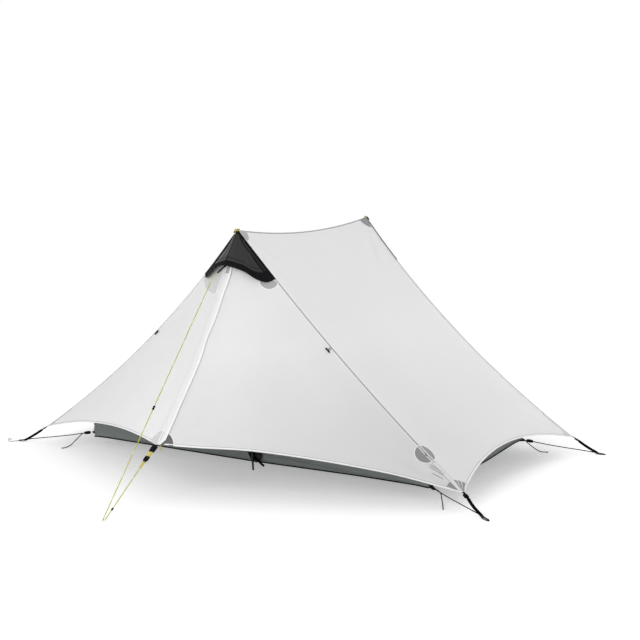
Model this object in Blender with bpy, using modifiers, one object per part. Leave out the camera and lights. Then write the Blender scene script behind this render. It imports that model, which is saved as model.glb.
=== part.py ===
"""A two-person backpacking tent that stands on two trekking poles.

The fly is pitched over a short ridge between two apexes. A vented vestibule
with a zipped door stands out on each long side, and a mesh inner tent with a
bathtub floor hangs below. Metres, +Z up. The origin is on the ground, at the
centre of the footprint. +X runs along the sleeping length, and the near half
is the one towards -Y. The far half is the near half turned by 180 degrees.
"""

import math

import bmesh
import bpy
from mathutils import Matrix, Vector

# Driving sizes of the pitched fly
APEX_HEIGHT = 1.25
RIDGE_HALF = 0.643
CORNER_ALONG = 1.304
CORNER_ACROSS = 0.682
CORNER_HEIGHT = 0.089
HEM_POINT_OUT = 1.312
HEM_POINT_HEIGHT = 0.276
PEG_ALONG = 1.458
PEG_ACROSS = 0.747
VESTIBULE_PEG_OUT = 1.703

# How far the middle of each fly edge is drawn in from a straight line
RIDGE_SAG = Vector((0.0, 0.0, -0.045))
HIP_SAG = Vector((-0.038, 0.042, -0.038))
SEAM_SAG = Vector((0.0, 0.037, -0.026))
END_HEM_SAG = Vector((-0.092, 0.0, 0.093))
DOOR_HEM_SAG = Vector((0.0, 0.014, 0.030))
FIXED_HEM_SAG = Vector((0.0, 0.033, 0.055))
DOOR_CUT_SAG = Vector((-0.030, 0.037, -0.030))

# Driving sizes of the inner tent
FLOOR_LENGTH = 2.10
FLOOR_WIDTH = 1.10
TUB_FLAT_MARGIN = 0.26
TUB_SEAM_HEIGHT = 0.042
TUB_WALL_TOP = 0.17
TUB_WALL_LEAN = 0.012
INNER_APEX_HEIGHT = 1.12
INNER_APEX_ACROSS = 0.60
INNER_RIDGE_SAG = Vector((0.0, 0.0, -0.03))

# Cloth and gaps
CLOTH = 0.0012
SEAM_GAP = 0.003
CORNER_TRIM = 0.03
PANEL_STEPS = 8
HOOD_STEPS = 14
END_PANEL_STEPS = 10
INNER_STEPS = 6

# The zipped door starts this share of the way down the vestibule seam
DOOR_TOP_SHARE = 0.26
FLAP_WIDTH = 0.034
FLAP_STEP_OUT = 0.014
HIP_PANEL_START = 0.12
ZIP_WIDTH = 0.016
ZIP_BEHIND = 0.006
ZIP_THICK = 0.0016
ZIP_END_SHARE = 0.97
SLIDER_SIZE = Vector((0.010, 0.004, 0.016))
SLIDER_BEVEL = 0.0012
SLIDER_GAP = 0.0006
SLIDER_SHARE = 0.955
INNER_SLOT = 0.012
INNER_SLIDER_SHARE = 0.975
INNER_SLIDER_OUT = 0.004

# The vent hood, whose brim dips beside the hips and arches up in the middle
HOOD_START = 0.14
HOOD_SHARE = 0.185
HOOD_LIFT = Vector((0.0, -0.0018, 0.006))
BRIM_DIP = Vector((0.190, -0.660, 1.001))
BRIM_RISE = Vector((0.150, -0.698, 1.018))
BRIM_SHOULDER = Vector((0.100, -0.736, 1.057))
BRIM_TOP = Vector((0.0, -0.757, 1.081))
BRIM_STEPS = 48
HOOD_CLOTH = 0.0016

# Poles, whose feet stand just beside the inner door's zip
POLE_FOOT_ALONG = 0.039
POLE_FOOT_ACROSS = 0.57
POLE_LENGTH = 1.214
POLE_JOIN = 0.62
UPPER_TUBE_RADIUS = 0.009
UPPER_BORE_RADIUS = 0.008
LOWER_TUBE_RADIUS = 0.0065
COLLAR_RADIUS = 0.0125
COLLAR_LENGTH = 0.04
FOOT_RADIUS = 0.0052
FOOT_LENGTH = 0.045
TUBE_OVERLAP = 0.10
TIP_RADIUS = 0.005
TIP_LENGTH = 0.018
BORE_END = 0.03
TAPER = 0.004
LEVER_SIZE = Vector((0.024, 0.004, 0.030))
LEVER_PIN = 0.010
LEVER_GAP = 0.003
TAB_ALONG = 0.045
TAB_HALF_WIDTH = 0.039
TAB_HEIGHT = 0.050
TAB_BASE_HEIGHT = 0.038
TAB_ACROSS = 0.5585

# Webbing, buckles and cords
WEBBING_WIDTH = 0.015
WEBBING_THICK = 0.0016
SLOT_SPREAD = 1.6
STRAP_BEFORE_PEG = 0.035
STRAP_PAST_PEG = 0.010
STRAP_DROOP = 0.006
GROUND_GAP = 0.0001
LADDER_SIZE = Vector((0.020, 0.024, 0.004))
LADDER_START = 0.006
LADDER_TO_STRAP = 0.006
GUY_RADIUS = 0.0019
CORD_RADIUS = 0.0019
BORE_PLAY = 0.0005
TENSIONER_RADIUS = 0.0055
TENSIONER_LENGTH = 0.018
LOCK_RADIUS = 0.0045
LOCK_LENGTH = 0.012
TENSIONER_SHARE = 0.637
CORD_LOCK_SHARE = 0.82
# Each link of the hem chain: where it starts and ends, its width and its thickness
HEM_CHAIN_LINKS = (
    (0.008, 0.045, 0.024, 0.009),
    (0.044, 0.077, 0.016, 0.003),
    (0.076, 0.106, 0.019, 0.006),
)
TOGGLE_SHARE = 0.446
TOGGLE_OUT = 0.0065
TOGGLE_STEM_HALF = 0.003
TOGGLE_STEM_TOP = -0.003
TOGGLE_BAR_HALF = 0.015
TOGGLE_BAR_TOP = -0.021
TOGGLE_BAR_FOOT = -0.028
TOGGLE_THICK = 0.005
LOOP_RADIUS = 0.010
LOOP_WEBBING_RADIUS = 0.0022
LOOP_PLACE = Vector((0.0, -0.012, 0.0045))

APEX = Vector((0.0, -RIDGE_HALF, APEX_HEIGHT))
FAR_APEX = Vector((0.0, RIDGE_HALF, APEX_HEIGHT))
HEM_POINT = Vector((0.0, -HEM_POINT_OUT, HEM_POINT_HEIGHT))
VESTIBULE_PEG = Vector((0.0, -VESTIBULE_PEG_OUT, 0.0))
INNER_APEX = Vector((0.0, -INNER_APEX_ACROSS, INNER_APEX_HEIGHT))

parts = bpy.data.collections.new("backpacking_tent")
cutters = bpy.data.collections.new("cutters")


def clear_scene():
    for old in list(bpy.data.objects):
        bpy.data.objects.remove(old)
    bpy.context.scene.collection.children.link(parts)
    bpy.context.scene.collection.children.link(cutters)
    cutters.hide_render = True


# Points and edges


def mirrored(point, hand):
    """The point on the right (hand 1) or its mirror image on the left (hand -1)."""
    return Vector((point.x * hand, point.y, point.z))


def corner(hand):
    return Vector((CORNER_ALONG * hand, -CORNER_ACROSS, CORNER_HEIGHT))


def drawn(start, end, sag):
    """An edge from start to end whose middle is moved by sag."""

    def at(t):
        return start.lerp(end, t) + sag * (4.0 * t * (1.0 - t))

    return at


def part_of(edge, low, high):
    return lambda t: edge(low + (high - low) * t)


def moved(edge, step):
    return lambda t: edge(t) + step


def hip(hand):
    return drawn(APEX, corner(hand), mirrored(HIP_SAG, hand))


SEAM = drawn(APEX, HEM_POINT, SEAM_SAG)
DOOR_SIDE = Vector((1.0, 0.574, 0.0))
SIDE_NORMAL = Vector((0.434, -0.756, 0.497))


def door_edge(t):
    """The zipped edge of the door panel, just past the storm flap."""
    down = min(t / DOOR_TOP_SHARE, 1.0)
    return SEAM(t) + DOOR_SIDE * (FLAP_WIDTH + SEAM_GAP) * down


DOOR_TOP = door_edge(DOOR_TOP_SHARE)
DOOR_HEM_START = door_edge(1.0)
DOOR_CUT = drawn(DOOR_TOP, corner(1), DOOR_CUT_SAG)


# Objects


def half_frames():
    """One empty for each half of the tent; the far half is turned by 180 degrees."""
    frames = {}
    for name, turn in (("near", 0.0), ("far", math.pi)):
        frame = bpy.data.objects.new(name + "_half", None)
        frame.rotation_euler = (0.0, 0.0, turn)
        parts.objects.link(frame)
        frames[name] = frame
    return frames


def finish(obj, name, half, look, origin=None):
    """Names the object, puts its origin at a point and hangs it on its half."""
    obj.name = name
    obj.data.name = name
    if origin is not None:
        obj.data.transform(Matrix.Translation(-origin))
        obj.location = origin
    obj.parent = half
    colour, rough, metal = look
    skin = bpy.data.materials.new(name)
    skin.use_nodes = True
    shader = skin.node_tree.nodes["Principled BSDF"]
    shader.inputs["Base Color"].default_value = (*colour, 1.0)
    shader.inputs["Roughness"].default_value = rough
    shader.inputs["Metallic"].default_value = metal
    obj.data.materials.clear()
    obj.data.materials.append(skin)
    return obj


def mesh_object(bm, collection=parts):
    mesh = bpy.data.meshes.new("piece")
    bm.to_mesh(mesh)
    bm.free()
    obj = bpy.data.objects.new("piece", mesh)
    collection.objects.link(obj)
    if collection is cutters:
        obj.display_type = "WIRE"
        obj.hide_render = True
    return obj


def thicken(obj, thickness, offset=0.0):
    solid = obj.modifiers.new("cloth", "SOLIDIFY")
    solid.thickness = thickness
    solid.offset = offset
    obj.data.shade_smooth()
    return obj


FLY_LOOK = ((0.86, 0.86, 0.86), 0.45, 0.0)
HOOD_LOOK = ((0.05, 0.05, 0.055), 0.55, 0.0)
MESH_LOOK = ((0.10, 0.11, 0.12), 0.80, 0.0)
TUB_LOOK = ((0.12, 0.16, 0.15), 0.55, 0.0)
WEBBING_LOOK = ((0.02, 0.02, 0.02), 0.75, 0.0)
PLASTIC_LOOK = ((0.02, 0.02, 0.022), 0.40, 0.0)
GUY_LOOK = ((0.62, 0.62, 0.12), 0.65, 0.0)
CORD_LOOK = ((0.02, 0.02, 0.02), 0.70, 0.0)
UPPER_POLE_LOOK = ((0.35, 0.36, 0.38), 0.30, 0.9)
LOWER_POLE_LOOK = ((0.03, 0.03, 0.03), 0.40, 0.2)


# Cloth panels


def panel(left, right, top, bottom, steps, start=0.0, end=1.0):
    """A cloth panel between four edges, kept a seam's gap inside its sides.

    left and right run downwards and top and bottom run to the right. start
    and end trim the panel where its sides meet in a point.
    """
    bm = bmesh.new()
    bmesh.ops.create_grid(bm, x_segments=steps, y_segments=steps, size=0.5)
    for vert in bm.verts:
        u = vert.co.x + 0.5
        v = start + (end - start) * (0.5 - vert.co.y)
        side_gap = SEAM_GAP / (left(v) - right(v)).length
        u = side_gap + (1.0 - 2.0 * side_gap) * u
        across = left(v).lerp(right(v), u)
        down = top(u).lerp(bottom(u), v)
        square = top(0.0).lerp(top(1.0), u).lerp(bottom(0.0).lerp(bottom(1.0), u), v)
        vert.co = across + down - square
    return bm


def point_edge(point):
    return lambda t: point


def fly_end(half, name):
    """The large panel over one end of the tent, from the ridge to the end hem."""
    far_corner = Vector((CORNER_ALONG, CORNER_ACROSS, CORNER_HEIGHT))
    far_sag = Vector((HIP_SAG.x, -HIP_SAG.y, HIP_SAG.z))
    bm = panel(
        hip(1),
        drawn(FAR_APEX, far_corner, far_sag),
        drawn(APEX, FAR_APEX, RIDGE_SAG),
        drawn(corner(1), far_corner, END_HEM_SAG),
        END_PANEL_STEPS,
        start=SEAM_GAP / (corner(1) - APEX).length,
    )
    finish(thicken(mesh_object(bm), CLOTH), name, half, FLY_LOOK)


def fixed_panel(half, name):
    """The left vestibule panel, whose right edge carries the storm flap."""
    bm = panel(
        hip(-1),
        SEAM,
        point_edge(APEX),
        drawn(corner(-1), HEM_POINT, FIXED_HEM_SAG),
        PANEL_STEPS,
        start=CORNER_TRIM,
    )
    seam_side = [e for e in bm.edges if e.is_boundary and on_seam_side(e)]
    flap = bmesh.ops.extrude_edge_only(bm, edges=seam_side)
    for vert in (g for g in flap["geom"] if isinstance(g, bmesh.types.BMVert)):
        down = min((APEX_HEIGHT - vert.co.z) / (APEX_HEIGHT - DOOR_TOP.z), 1.0)
        vert.co += Vector((FLAP_WIDTH, FLAP_STEP_OUT, 0.0)) * down
    finish(thicken(mesh_object(bm), CLOTH), name, half, FLY_LOOK)


def on_seam_side(edge):
    return all(abs(v.co.x) < 2.0 * SEAM_GAP for v in edge.verts)


def hip_panel(half, name):
    """The fixed part of the right vestibule panel, between the hip and the door."""
    bm = panel(
        part_of(door_edge, 0.0, DOOR_TOP_SHARE),
        hip(1),
        point_edge(APEX),
        DOOR_CUT,
        PANEL_STEPS,
        start=HIP_PANEL_START,
        end=1.0 - SEAM_GAP / (DOOR_TOP - APEX).length,
    )
    finish(thicken(mesh_object(bm), CLOTH), name, half, FLY_LOOK)


def door_panel(half, name):
    """The zipped door. Its origin is the top of its hinge line, straight to the corner."""
    bm = panel(
        part_of(door_edge, DOOR_TOP_SHARE, 1.0),
        DOOR_CUT,
        point_edge(DOOR_TOP),
        drawn(DOOR_HEM_START, corner(1), DOOR_HEM_SAG),
        PANEL_STEPS,
        start=CORNER_TRIM,
    )
    finish(thicken(mesh_object(bm), CLOTH), name, half, FLY_LOOK, DOOR_TOP)


def vent_hood(half, name):
    """The hood over an apex, proud of the panels so that air gets in under its brim."""
    right = [hip(1)(HOOD_SHARE) + HOOD_LIFT, BRIM_DIP, BRIM_RISE, BRIM_SHOULDER]
    left = [mirrored(stop, -1) for stop in right]
    brim_points = smooth_route([*left, BRIM_TOP, *reversed(right)], BRIM_STEPS + 1)

    def brim(t):
        step = min(int(t * BRIM_STEPS), BRIM_STEPS - 1)
        return brim_points[step].lerp(brim_points[step + 1], t * BRIM_STEPS - step)

    bm = panel(
        moved(part_of(hip(-1), 0.0, HOOD_SHARE), HOOD_LIFT),
        moved(part_of(hip(1), 0.0, HOOD_SHARE), HOOD_LIFT),
        point_edge(APEX + HOOD_LIFT),
        brim,
        HOOD_STEPS,
        start=HOOD_START,
    )
    finish(thicken(mesh_object(bm), HOOD_CLOTH), name, half, HOOD_LOOK)


# Zips


def zip_line(t):
    """The zip's middle, behind the storm flap."""
    return door_edge(t) + Vector((-FLAP_WIDTH / 2.0, ZIP_BEHIND, -ZIP_BEHIND / 2.0))


def fly_zip(half, name):
    bm = bmesh.new()
    bmesh.ops.create_grid(bm, x_segments=1, y_segments=14, size=0.5)
    for vert in bm.verts:
        t = DOOR_TOP_SHARE + (ZIP_END_SHARE - DOOR_TOP_SHARE) * (0.5 - vert.co.y)
        vert.co = zip_line(t) + DOOR_SIDE * (vert.co.x * ZIP_WIDTH)
    finish(thicken(mesh_object(bm), ZIP_THICK), name, half, WEBBING_LOOK)


def facing(ahead, side):
    """The turn that points local Z ahead and local X as near to side as it can be."""
    z = ahead.normalized()
    x = (side - z * side.dot(z)).normalized()
    return Matrix((x, z.cross(x), z)).transposed().to_euler()


def zip_slider(half, name, place, ahead, side):
    bm = bmesh.new()
    bmesh.ops.create_cube(bm, size=1.0)
    bmesh.ops.scale(bm, vec=SLIDER_SIZE, verts=bm.verts)
    bmesh.ops.bevel(
        bm, geom=bm.edges[:], offset=SLIDER_BEVEL, segments=1, affect="EDGES", profile=0.5
    )
    obj = finish(mesh_object(bm), name, half, PLASTIC_LOOK)
    obj.location = place
    obj.rotation_euler = facing(ahead, side)


def fly_zip_slider(half, name):
    """The slider behind the zip, closed at its foot."""
    ahead = SEAM(SLIDER_SHARE + 0.01) - SEAM(SLIDER_SHARE - 0.01)
    behind = (ZIP_THICK + SLIDER_SIZE.y) / 2.0 + SLIDER_GAP
    place = zip_line(SLIDER_SHARE) - SIDE_NORMAL * behind
    zip_slider(half, name, place, ahead, DOOR_SIDE)


# Inner tent


def tub_profile(ring):
    """Half length, half width and height of the tub at a ring, from 0 inside to 1 at the rim."""
    flat = (FLOOR_LENGTH / 2.0 - TUB_FLAT_MARGIN, FLOOR_WIDTH / 2.0 - TUB_FLAT_MARGIN, 0.0)
    seam = (FLOOR_LENGTH / 2.0, FLOOR_WIDTH / 2.0, TUB_SEAM_HEIGHT)
    rim = (seam[0] + TUB_WALL_LEAN, seam[1] + TUB_WALL_LEAN, TUB_WALL_TOP)
    stops = ((0.0, (0.0, 0.0, 0.0)), (0.6, flat), (0.8, seam), (1.0, rim))
    for (low, a), (high, b) in zip(stops, stops[1:]):
        if ring <= high + 1e-6:
            return Vector(a).lerp(Vector(b), (ring - low) / (high - low))
    return Vector(rim)


def floor_tub(half, name):
    """The bathtub floor: flat on the ground, with its walls turned up all round."""
    bm = bmesh.new()
    bmesh.ops.create_grid(bm, x_segments=10, y_segments=10, size=1.0)
    for vert in bm.verts:
        ring = max(abs(vert.co.x), abs(vert.co.y))
        size = tub_profile(ring)
        if ring > 0.0:
            vert.co = Vector((vert.co.x / ring * size.x, vert.co.y / ring * size.y, size.z))
    finish(thicken(mesh_object(bm), CLOTH, 1.0), name, half, TUB_LOOK)


def rim_corner(hand, side):
    """A corner of the mesh body, a seam's gap above the tub's rim."""
    along = FLOOR_LENGTH / 2.0 + TUB_WALL_LEAN
    across = FLOOR_WIDTH / 2.0 + TUB_WALL_LEAN
    return Vector((along * hand, across * side, TUB_WALL_TOP + SEAM_GAP))


def straight(start, end):
    return lambda t: start.lerp(end, t)


def inner_end(half, name):
    """The mesh wall over one end of the inner tent."""
    far_apex = Vector((0.0, INNER_APEX_ACROSS, INNER_APEX_HEIGHT))
    bm = panel(
        straight(INNER_APEX, rim_corner(1, -1)),
        straight(far_apex, rim_corner(1, 1)),
        drawn(INNER_APEX, far_apex, INNER_RIDGE_SAG),
        straight(rim_corner(1, -1), rim_corner(1, 1)),
        INNER_STEPS,
        start=SEAM_GAP / (rim_corner(1, -1) - INNER_APEX).length,
    )
    finish(thicken(mesh_object(bm), CLOTH), name, half, MESH_LOOK)


def inner_fixed_wall(half, name):
    """The left half of the inner side wall."""
    foot = Vector((0.0, rim_corner(1, -1).y, TUB_WALL_TOP + SEAM_GAP))
    bm = panel(
        straight(INNER_APEX, rim_corner(-1, -1)),
        straight(INNER_APEX, foot),
        point_edge(INNER_APEX),
        straight(rim_corner(-1, -1), foot),
        INNER_STEPS,
        start=CORNER_TRIM,
    )
    finish(thicken(mesh_object(bm), CLOTH), name, half, MESH_LOOK)


def inner_door(half, name):
    """The right half of the inner side wall. Its origin is on its slanting hinge line."""
    foot = Vector((0.0, rim_corner(1, -1).y, TUB_WALL_TOP + SEAM_GAP))
    slot = Vector((INNER_SLOT, 0.0, 0.0))
    bm = panel(
        straight(INNER_APEX + slot, foot + slot),
        straight(INNER_APEX, rim_corner(1, -1)),
        point_edge(INNER_APEX),
        straight(foot + slot, rim_corner(1, -1)),
        INNER_STEPS,
        start=CORNER_TRIM,
    )
    finish(thicken(mesh_object(bm), CLOTH), name, half, MESH_LOOK, INNER_APEX)


def inner_zip_slider(half, name):
    """The inner door's slider, closed at the foot of the wall's upright zip."""
    lean = Vector((0.0, rim_corner(1, -1).y, TUB_WALL_TOP + SEAM_GAP)) - INNER_APEX
    out = Vector((INNER_SLOT / 2.0, -INNER_SLIDER_OUT, 0.0))
    place = INNER_APEX + lean * INNER_SLIDER_SHARE + out
    zip_slider(half, name, place, lean, Vector((1.0, 0.0, 0.0)))


# Poles


def turned(profile, steps=16, closed=False):
    """A turned shape from (radius, height) points down its outer side."""
    bm = bmesh.new()
    verts = [bm.verts.new((radius, 0.0, height)) for radius, height in profile]
    after = verts[1:] + verts[:1] if closed else verts[1:]
    for a, b in zip(verts, after):
        bm.edges.new((a, b))
    obj = mesh_object(bm)
    screw = obj.modifiers.new("turn", "SCREW")
    screw.steps = steps
    screw.render_steps = steps
    screw.use_merge_vertices = True
    screw.merge_threshold = 0.00001
    return obj


POLE_FOOT = Vector((POLE_FOOT_ALONG, -POLE_FOOT_ACROSS, 0.0006))
POLE_LEAN = (APEX - POLE_FOOT).normalized()
POLE_TURN = facing(POLE_LEAN, Vector((1.0, 0.0, 0.0)))


def along_pole(obj, height):
    obj.location = POLE_FOOT + POLE_LEAN * height
    obj.rotation_euler = POLE_TURN


def pole_upper_tube(half, name):
    """The hollow upper tube with the lock's collar at its lower end."""
    top = POLE_LENGTH - POLE_JOIN
    profile = [
        (0.0, top),
        (TIP_RADIUS, top),
        (UPPER_TUBE_RADIUS, top - TIP_LENGTH),
        (UPPER_TUBE_RADIUS, COLLAR_LENGTH + TAPER),
        (COLLAR_RADIUS, COLLAR_LENGTH),
        (COLLAR_RADIUS, 0.0),
        (UPPER_BORE_RADIUS, 0.0),
        (UPPER_BORE_RADIUS, top - BORE_END),
        (0.0, top - BORE_END),
    ]
    obj = finish(turned(profile), name, half, UPPER_POLE_LOOK)
    along_pole(obj, POLE_JOIN)


def pole_lower_tube(half, name):
    """The lower tube that slides up into the upper one, on its tapered tip."""
    top = POLE_JOIN + TUBE_OVERLAP
    profile = [
        (0.0, top),
        (LOWER_TUBE_RADIUS, top),
        (LOWER_TUBE_RADIUS, FOOT_LENGTH + TAPER),
        (FOOT_RADIUS, FOOT_LENGTH),
        (FOOT_RADIUS, 0.0),
        (0.0, 0.0),
    ]
    obj = finish(turned(profile), name, half, LOWER_POLE_LOOK)
    along_pole(obj, 0.0)


def pole_lock_lever(half, name):
    """The clamp's lever. Its origin is on the pin that it swings on."""
    bm = bmesh.new()
    bmesh.ops.create_cube(bm, size=1.0)
    bmesh.ops.scale(bm, vec=LEVER_SIZE, verts=bm.verts)
    bmesh.ops.translate(bm, vec=(-LEVER_PIN, 0.0, 0.0), verts=bm.verts)
    bmesh.ops.bevel(
        bm, geom=bm.edges[:], offset=0.001, segments=1, affect="EDGES", profile=0.5
    )
    obj = finish(mesh_object(bm), name, half, PLASTIC_LOOK)
    along_pole(obj, POLE_JOIN + COLLAR_LENGTH / 2.0)
    obj.location += POLE_TURN.to_matrix() @ Vector((LEVER_PIN, -(COLLAR_RADIUS + LEVER_GAP), 0.0))


def pole_tab(half, name):
    """The stiff triangular tab on the tub's side that the pole's foot stands against."""
    outline = ((-TAB_HALF_WIDTH, 0.0), (TAB_HALF_WIDTH, 0.0), (0.0, TAB_HEIGHT))
    obj = flat_outline(name, outline, WEBBING_THICK)
    finish(obj, name, half, WEBBING_LOOK)
    obj.location = (TAB_ALONG, -TAB_ACROSS, TAB_BASE_HEIGHT)
    obj.rotation_euler = (math.pi / 2.0, 0.0, 0.0)


def flat_outline(name, outline, thickness):
    """A flat plate with this outline, from a filled and extruded curve."""
    curve = bpy.data.curves.new(name, "CURVE")
    curve.dimensions = "2D"
    curve.fill_mode = "BOTH"
    curve.extrude = thickness / 2.0
    spline = curve.splines.new("POLY")
    spline.points.add(len(outline) - 1)
    for point, (x, y) in zip(spline.points, outline):
        point.co = (x, y, 0.0, 1.0)
    spline.use_cyclic_u = True
    obj = bpy.data.objects.new(name, curve)
    parts.objects.link(obj)
    return obj


# Webbing and buckles


def level_side(direction):
    """The level unit vector across a strap that runs in a direction."""
    return Vector((0.0, 0.0, 1.0)).cross(direction).normalized()


def strap_route(hand):
    """The peg strap's line: straight down from the ladder buckle, then flat on the ground."""
    start = corner(hand)
    peg = Vector((PEG_ALONG * hand, -PEG_ACROSS, WEBBING_THICK / 2.0 + GROUND_GAP))
    run = Vector((peg.x - start.x, peg.y - start.y, 0.0)).normalized()
    landing = peg - run * STRAP_BEFORE_PEG
    buckle = LADDER_START + LADDER_SIZE.x + LADDER_TO_STRAP
    begin = start + (landing - start).normalized() * buckle
    return begin, landing, peg + run * STRAP_PAST_PEG


def corner_strap(half, name, hand):
    """Webbing with a slot near its end that the peg goes through."""
    begin, landing, past = strap_route(hand)
    sloped, flat = (landing - begin).length, (past - landing).length
    side = level_side(past - landing)
    bm = bmesh.new()
    bmesh.ops.create_grid(bm, x_segments=3, y_segments=12, size=0.5)
    slot = [
        f
        for f in bm.faces
        if abs(f.calc_center_median().x) < 0.1 and 0.25 < f.calc_center_median().y < 0.42
    ]
    bmesh.ops.delete(bm, geom=slot, context="FACES")
    for vert in bm.verts:
        way = (vert.co.y + 0.5) * (sloped + flat)
        width = vert.co.x * WEBBING_WIDTH * (1.0 if abs(vert.co.x) > 0.3 else SLOT_SPREAD)
        if way < sloped:
            place = begin.lerp(landing, way / sloped)
            place.z -= STRAP_DROOP * math.sin(math.pi * way / sloped)
        else:
            place = landing.lerp(past, (way - sloped) / flat)
        vert.co = place + side * width
        vert.co.z = max(vert.co.z, WEBBING_THICK / 2.0 + GROUND_GAP)
    finish(thicken(mesh_object(bm), WEBBING_THICK), name, half, WEBBING_LOOK)


def ladder_buckle(half, name, hand):
    """A ladder buckle at a fly corner: three bars with two slots between them."""
    ahead = (strap_route(hand)[1] - corner(hand)).normalized()
    side = level_side(ahead)
    place = corner(hand) + ahead * (LADDER_START + LADDER_SIZE.x / 2.0)
    bm = bmesh.new()
    bmesh.ops.create_grid(bm, x_segments=5, y_segments=3, size=0.5)
    slots = [
        f
        for f in bm.faces
        if abs(f.calc_center_median().y) < 0.1
        and 0.1 < abs(f.calc_center_median().x) < 0.3
    ]
    bmesh.ops.delete(bm, geom=slots, context="FACES")
    for vert in bm.verts:
        across = vert.co.y * LADDER_SIZE.y * (1.0 if abs(vert.co.y) > 0.3 else SLOT_SPREAD)
        vert.co = place + ahead * (vert.co.x * LADDER_SIZE.x) + side * across
    finish(thicken(mesh_object(bm), LADDER_SIZE.z), name, half, PLASTIC_LOOK)


def box(size, place, turn, collection):
    bm = bmesh.new()
    bmesh.ops.create_cube(bm, size=1.0)
    bmesh.ops.scale(bm, vec=size, verts=bm.verts)
    bmesh.ops.transform(bm, matrix=Matrix.LocRotScale(place, turn, None), verts=bm.verts)
    return mesh_object(bm, collection)


HEM_CHAIN_DIRECTION = (VESTIBULE_PEG - HEM_POINT).normalized()


def hem_buckle(half, name):
    """The chain at the vestibule's hem: a side-release buckle, webbing and a ladder buckle."""
    turn = HEM_CHAIN_DIRECTION.to_track_quat("Y", "Z")
    solids = []
    for low, high, wide, thick in HEM_CHAIN_LINKS:
        place = HEM_POINT + HEM_CHAIN_DIRECTION * ((low + high) / 2.0)
        where = cutters if solids else parts
        solids.append(box(Vector((wide, high - low, thick)), place, turn, where))
    for other in solids[1:]:
        join = solids[0].modifiers.new("join", "BOOLEAN")
        join.operation = "UNION"
        join.object = other
        other.parent = half
    finish(solids[0], name, half, PLASTIC_LOOK)


def apex_loop(half, name):
    """The webbing loop at an apex that the guy line is tied to."""
    bpy.ops.mesh.primitive_torus_add(
        major_segments=14,
        minor_segments=6,
        major_radius=LOOP_RADIUS,
        minor_radius=LOOP_WEBBING_RADIUS,
    )
    obj = bpy.context.object
    for other in obj.users_collection:
        other.objects.unlink(obj)
    parts.objects.link(obj)
    finish(obj, name, half, GUY_LOOK)
    obj.location = APEX + LOOP_PLACE


# Cords


def smooth_route(stops, count):
    """Evenly spaced points on a smooth curve through the stops."""
    ends = [stops[0] * 2.0 - stops[1], *stops, stops[-1] * 2.0 - stops[-2]]
    fine = []
    for a, b, c, d in zip(ends, ends[1:], ends[2:], ends[3:]):
        for i in range(24):
            t = i / 24.0
            fine.append(
                (b * 2.0 + (c - a) * t + (a * 2.0 - b * 5.0 + c * 4.0 - d) * t**2
                 + (b * 3.0 - a - c * 3.0 + d) * t**3) / 2.0
            )
    fine.append(stops[-1])
    way = [0.0]
    for p, q in zip(fine, fine[1:]):
        way.append(way[-1] + (q - p).length)
    route = []
    for i in range(count):
        goal = way[-1] * i / (count - 1)
        k = next(j for j in range(1, len(way)) if way[j] >= goal - 1e-9)
        share = (goal - way[k - 1]) / max(way[k] - way[k - 1], 1e-12)
        route.append(fine[k - 1].lerp(fine[k], share))
    return route


def cord(half, name, route, radius, look):
    curve = bpy.data.curves.new(name, "CURVE")
    curve.dimensions = "3D"
    curve.bevel_depth = radius
    curve.bevel_resolution = 2
    curve.use_fill_caps = True
    spline = curve.splines.new("POLY")
    spline.points.add(len(route) - 1)
    for point, place in zip(spline.points, route):
        point.co = (*place, 1.0)
    obj = bpy.data.objects.new(name, curve)
    parts.objects.link(obj)
    finish(obj, name, half, look)


GUY_START = APEX + Vector((0.0, -0.027, 0.0045))
GUY_END = VESTIBULE_PEG + Vector((0.0, 0.004, GUY_RADIUS + 0.0005))
CORD_START = HEM_POINT + HEM_CHAIN_DIRECTION * 0.108
CORD_END = VESTIBULE_PEG + Vector((0.0, 0.022, GUY_RADIUS + 0.0005))


def apex_guy(half, name):
    cord(half, name, smooth_route([GUY_START, GUY_END], 30), GUY_RADIUS, GUY_LOOK)


def vestibule_cord(half, name):
    cord(half, name, smooth_route([CORD_START, CORD_END], 12), GUY_RADIUS, GUY_LOOK)


def bead(half, name, start, end, share, radius, length):
    """A turned slider that rides on a straight cord."""
    bore = GUY_RADIUS + BORE_PLAY
    chamfer = radius * 0.25
    tall = length / 2.0
    profile = [
        (bore, tall),
        (radius - chamfer, tall),
        (radius, tall - chamfer),
        (radius, chamfer - tall),
        (radius - chamfer, -tall),
        (bore, -tall),
    ]
    obj = finish(turned(profile, 12, closed=True), name, half, PLASTIC_LOOK)
    obj.location = start.lerp(end, share)
    obj.rotation_euler = (start - end).to_track_quat("Z", "Y").to_euler()


def corner_cord(half, name, hand):
    """The inner tent's corner cord: from its peg to the tub's corner, with a free tail."""
    tub = Vector((FLOOR_LENGTH / 2.0 + 0.016, -(FLOOR_WIDTH / 2.0 + 0.022), 0.066))
    peg = Vector((PEG_ALONG - 0.020, -(PEG_ACROSS - 0.022), CORD_RADIUS + 0.0006))
    stops = [
        peg,
        peg.lerp(tub, 0.30) + Vector((0.0, 0.0, -0.001)),
        peg.lerp(tub, 0.65) + Vector((0.0, 0.0, -0.003)),
        peg.lerp(tub, 0.92),
        tub,
        tub + Vector((0.003, -0.006, -0.008)),
        tub + Vector((0.016, -0.012, -0.020)),
        tub + Vector((0.045, -0.026, -0.045)),
        tub + Vector((0.075, -0.042, -0.0630)),
        tub + Vector((0.115, -0.050, -0.0635)),
    ]
    route = smooth_route([mirrored(s, hand) for s in stops], 60)
    cord(half, name, route, CORD_RADIUS, CORD_LOOK)


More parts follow.
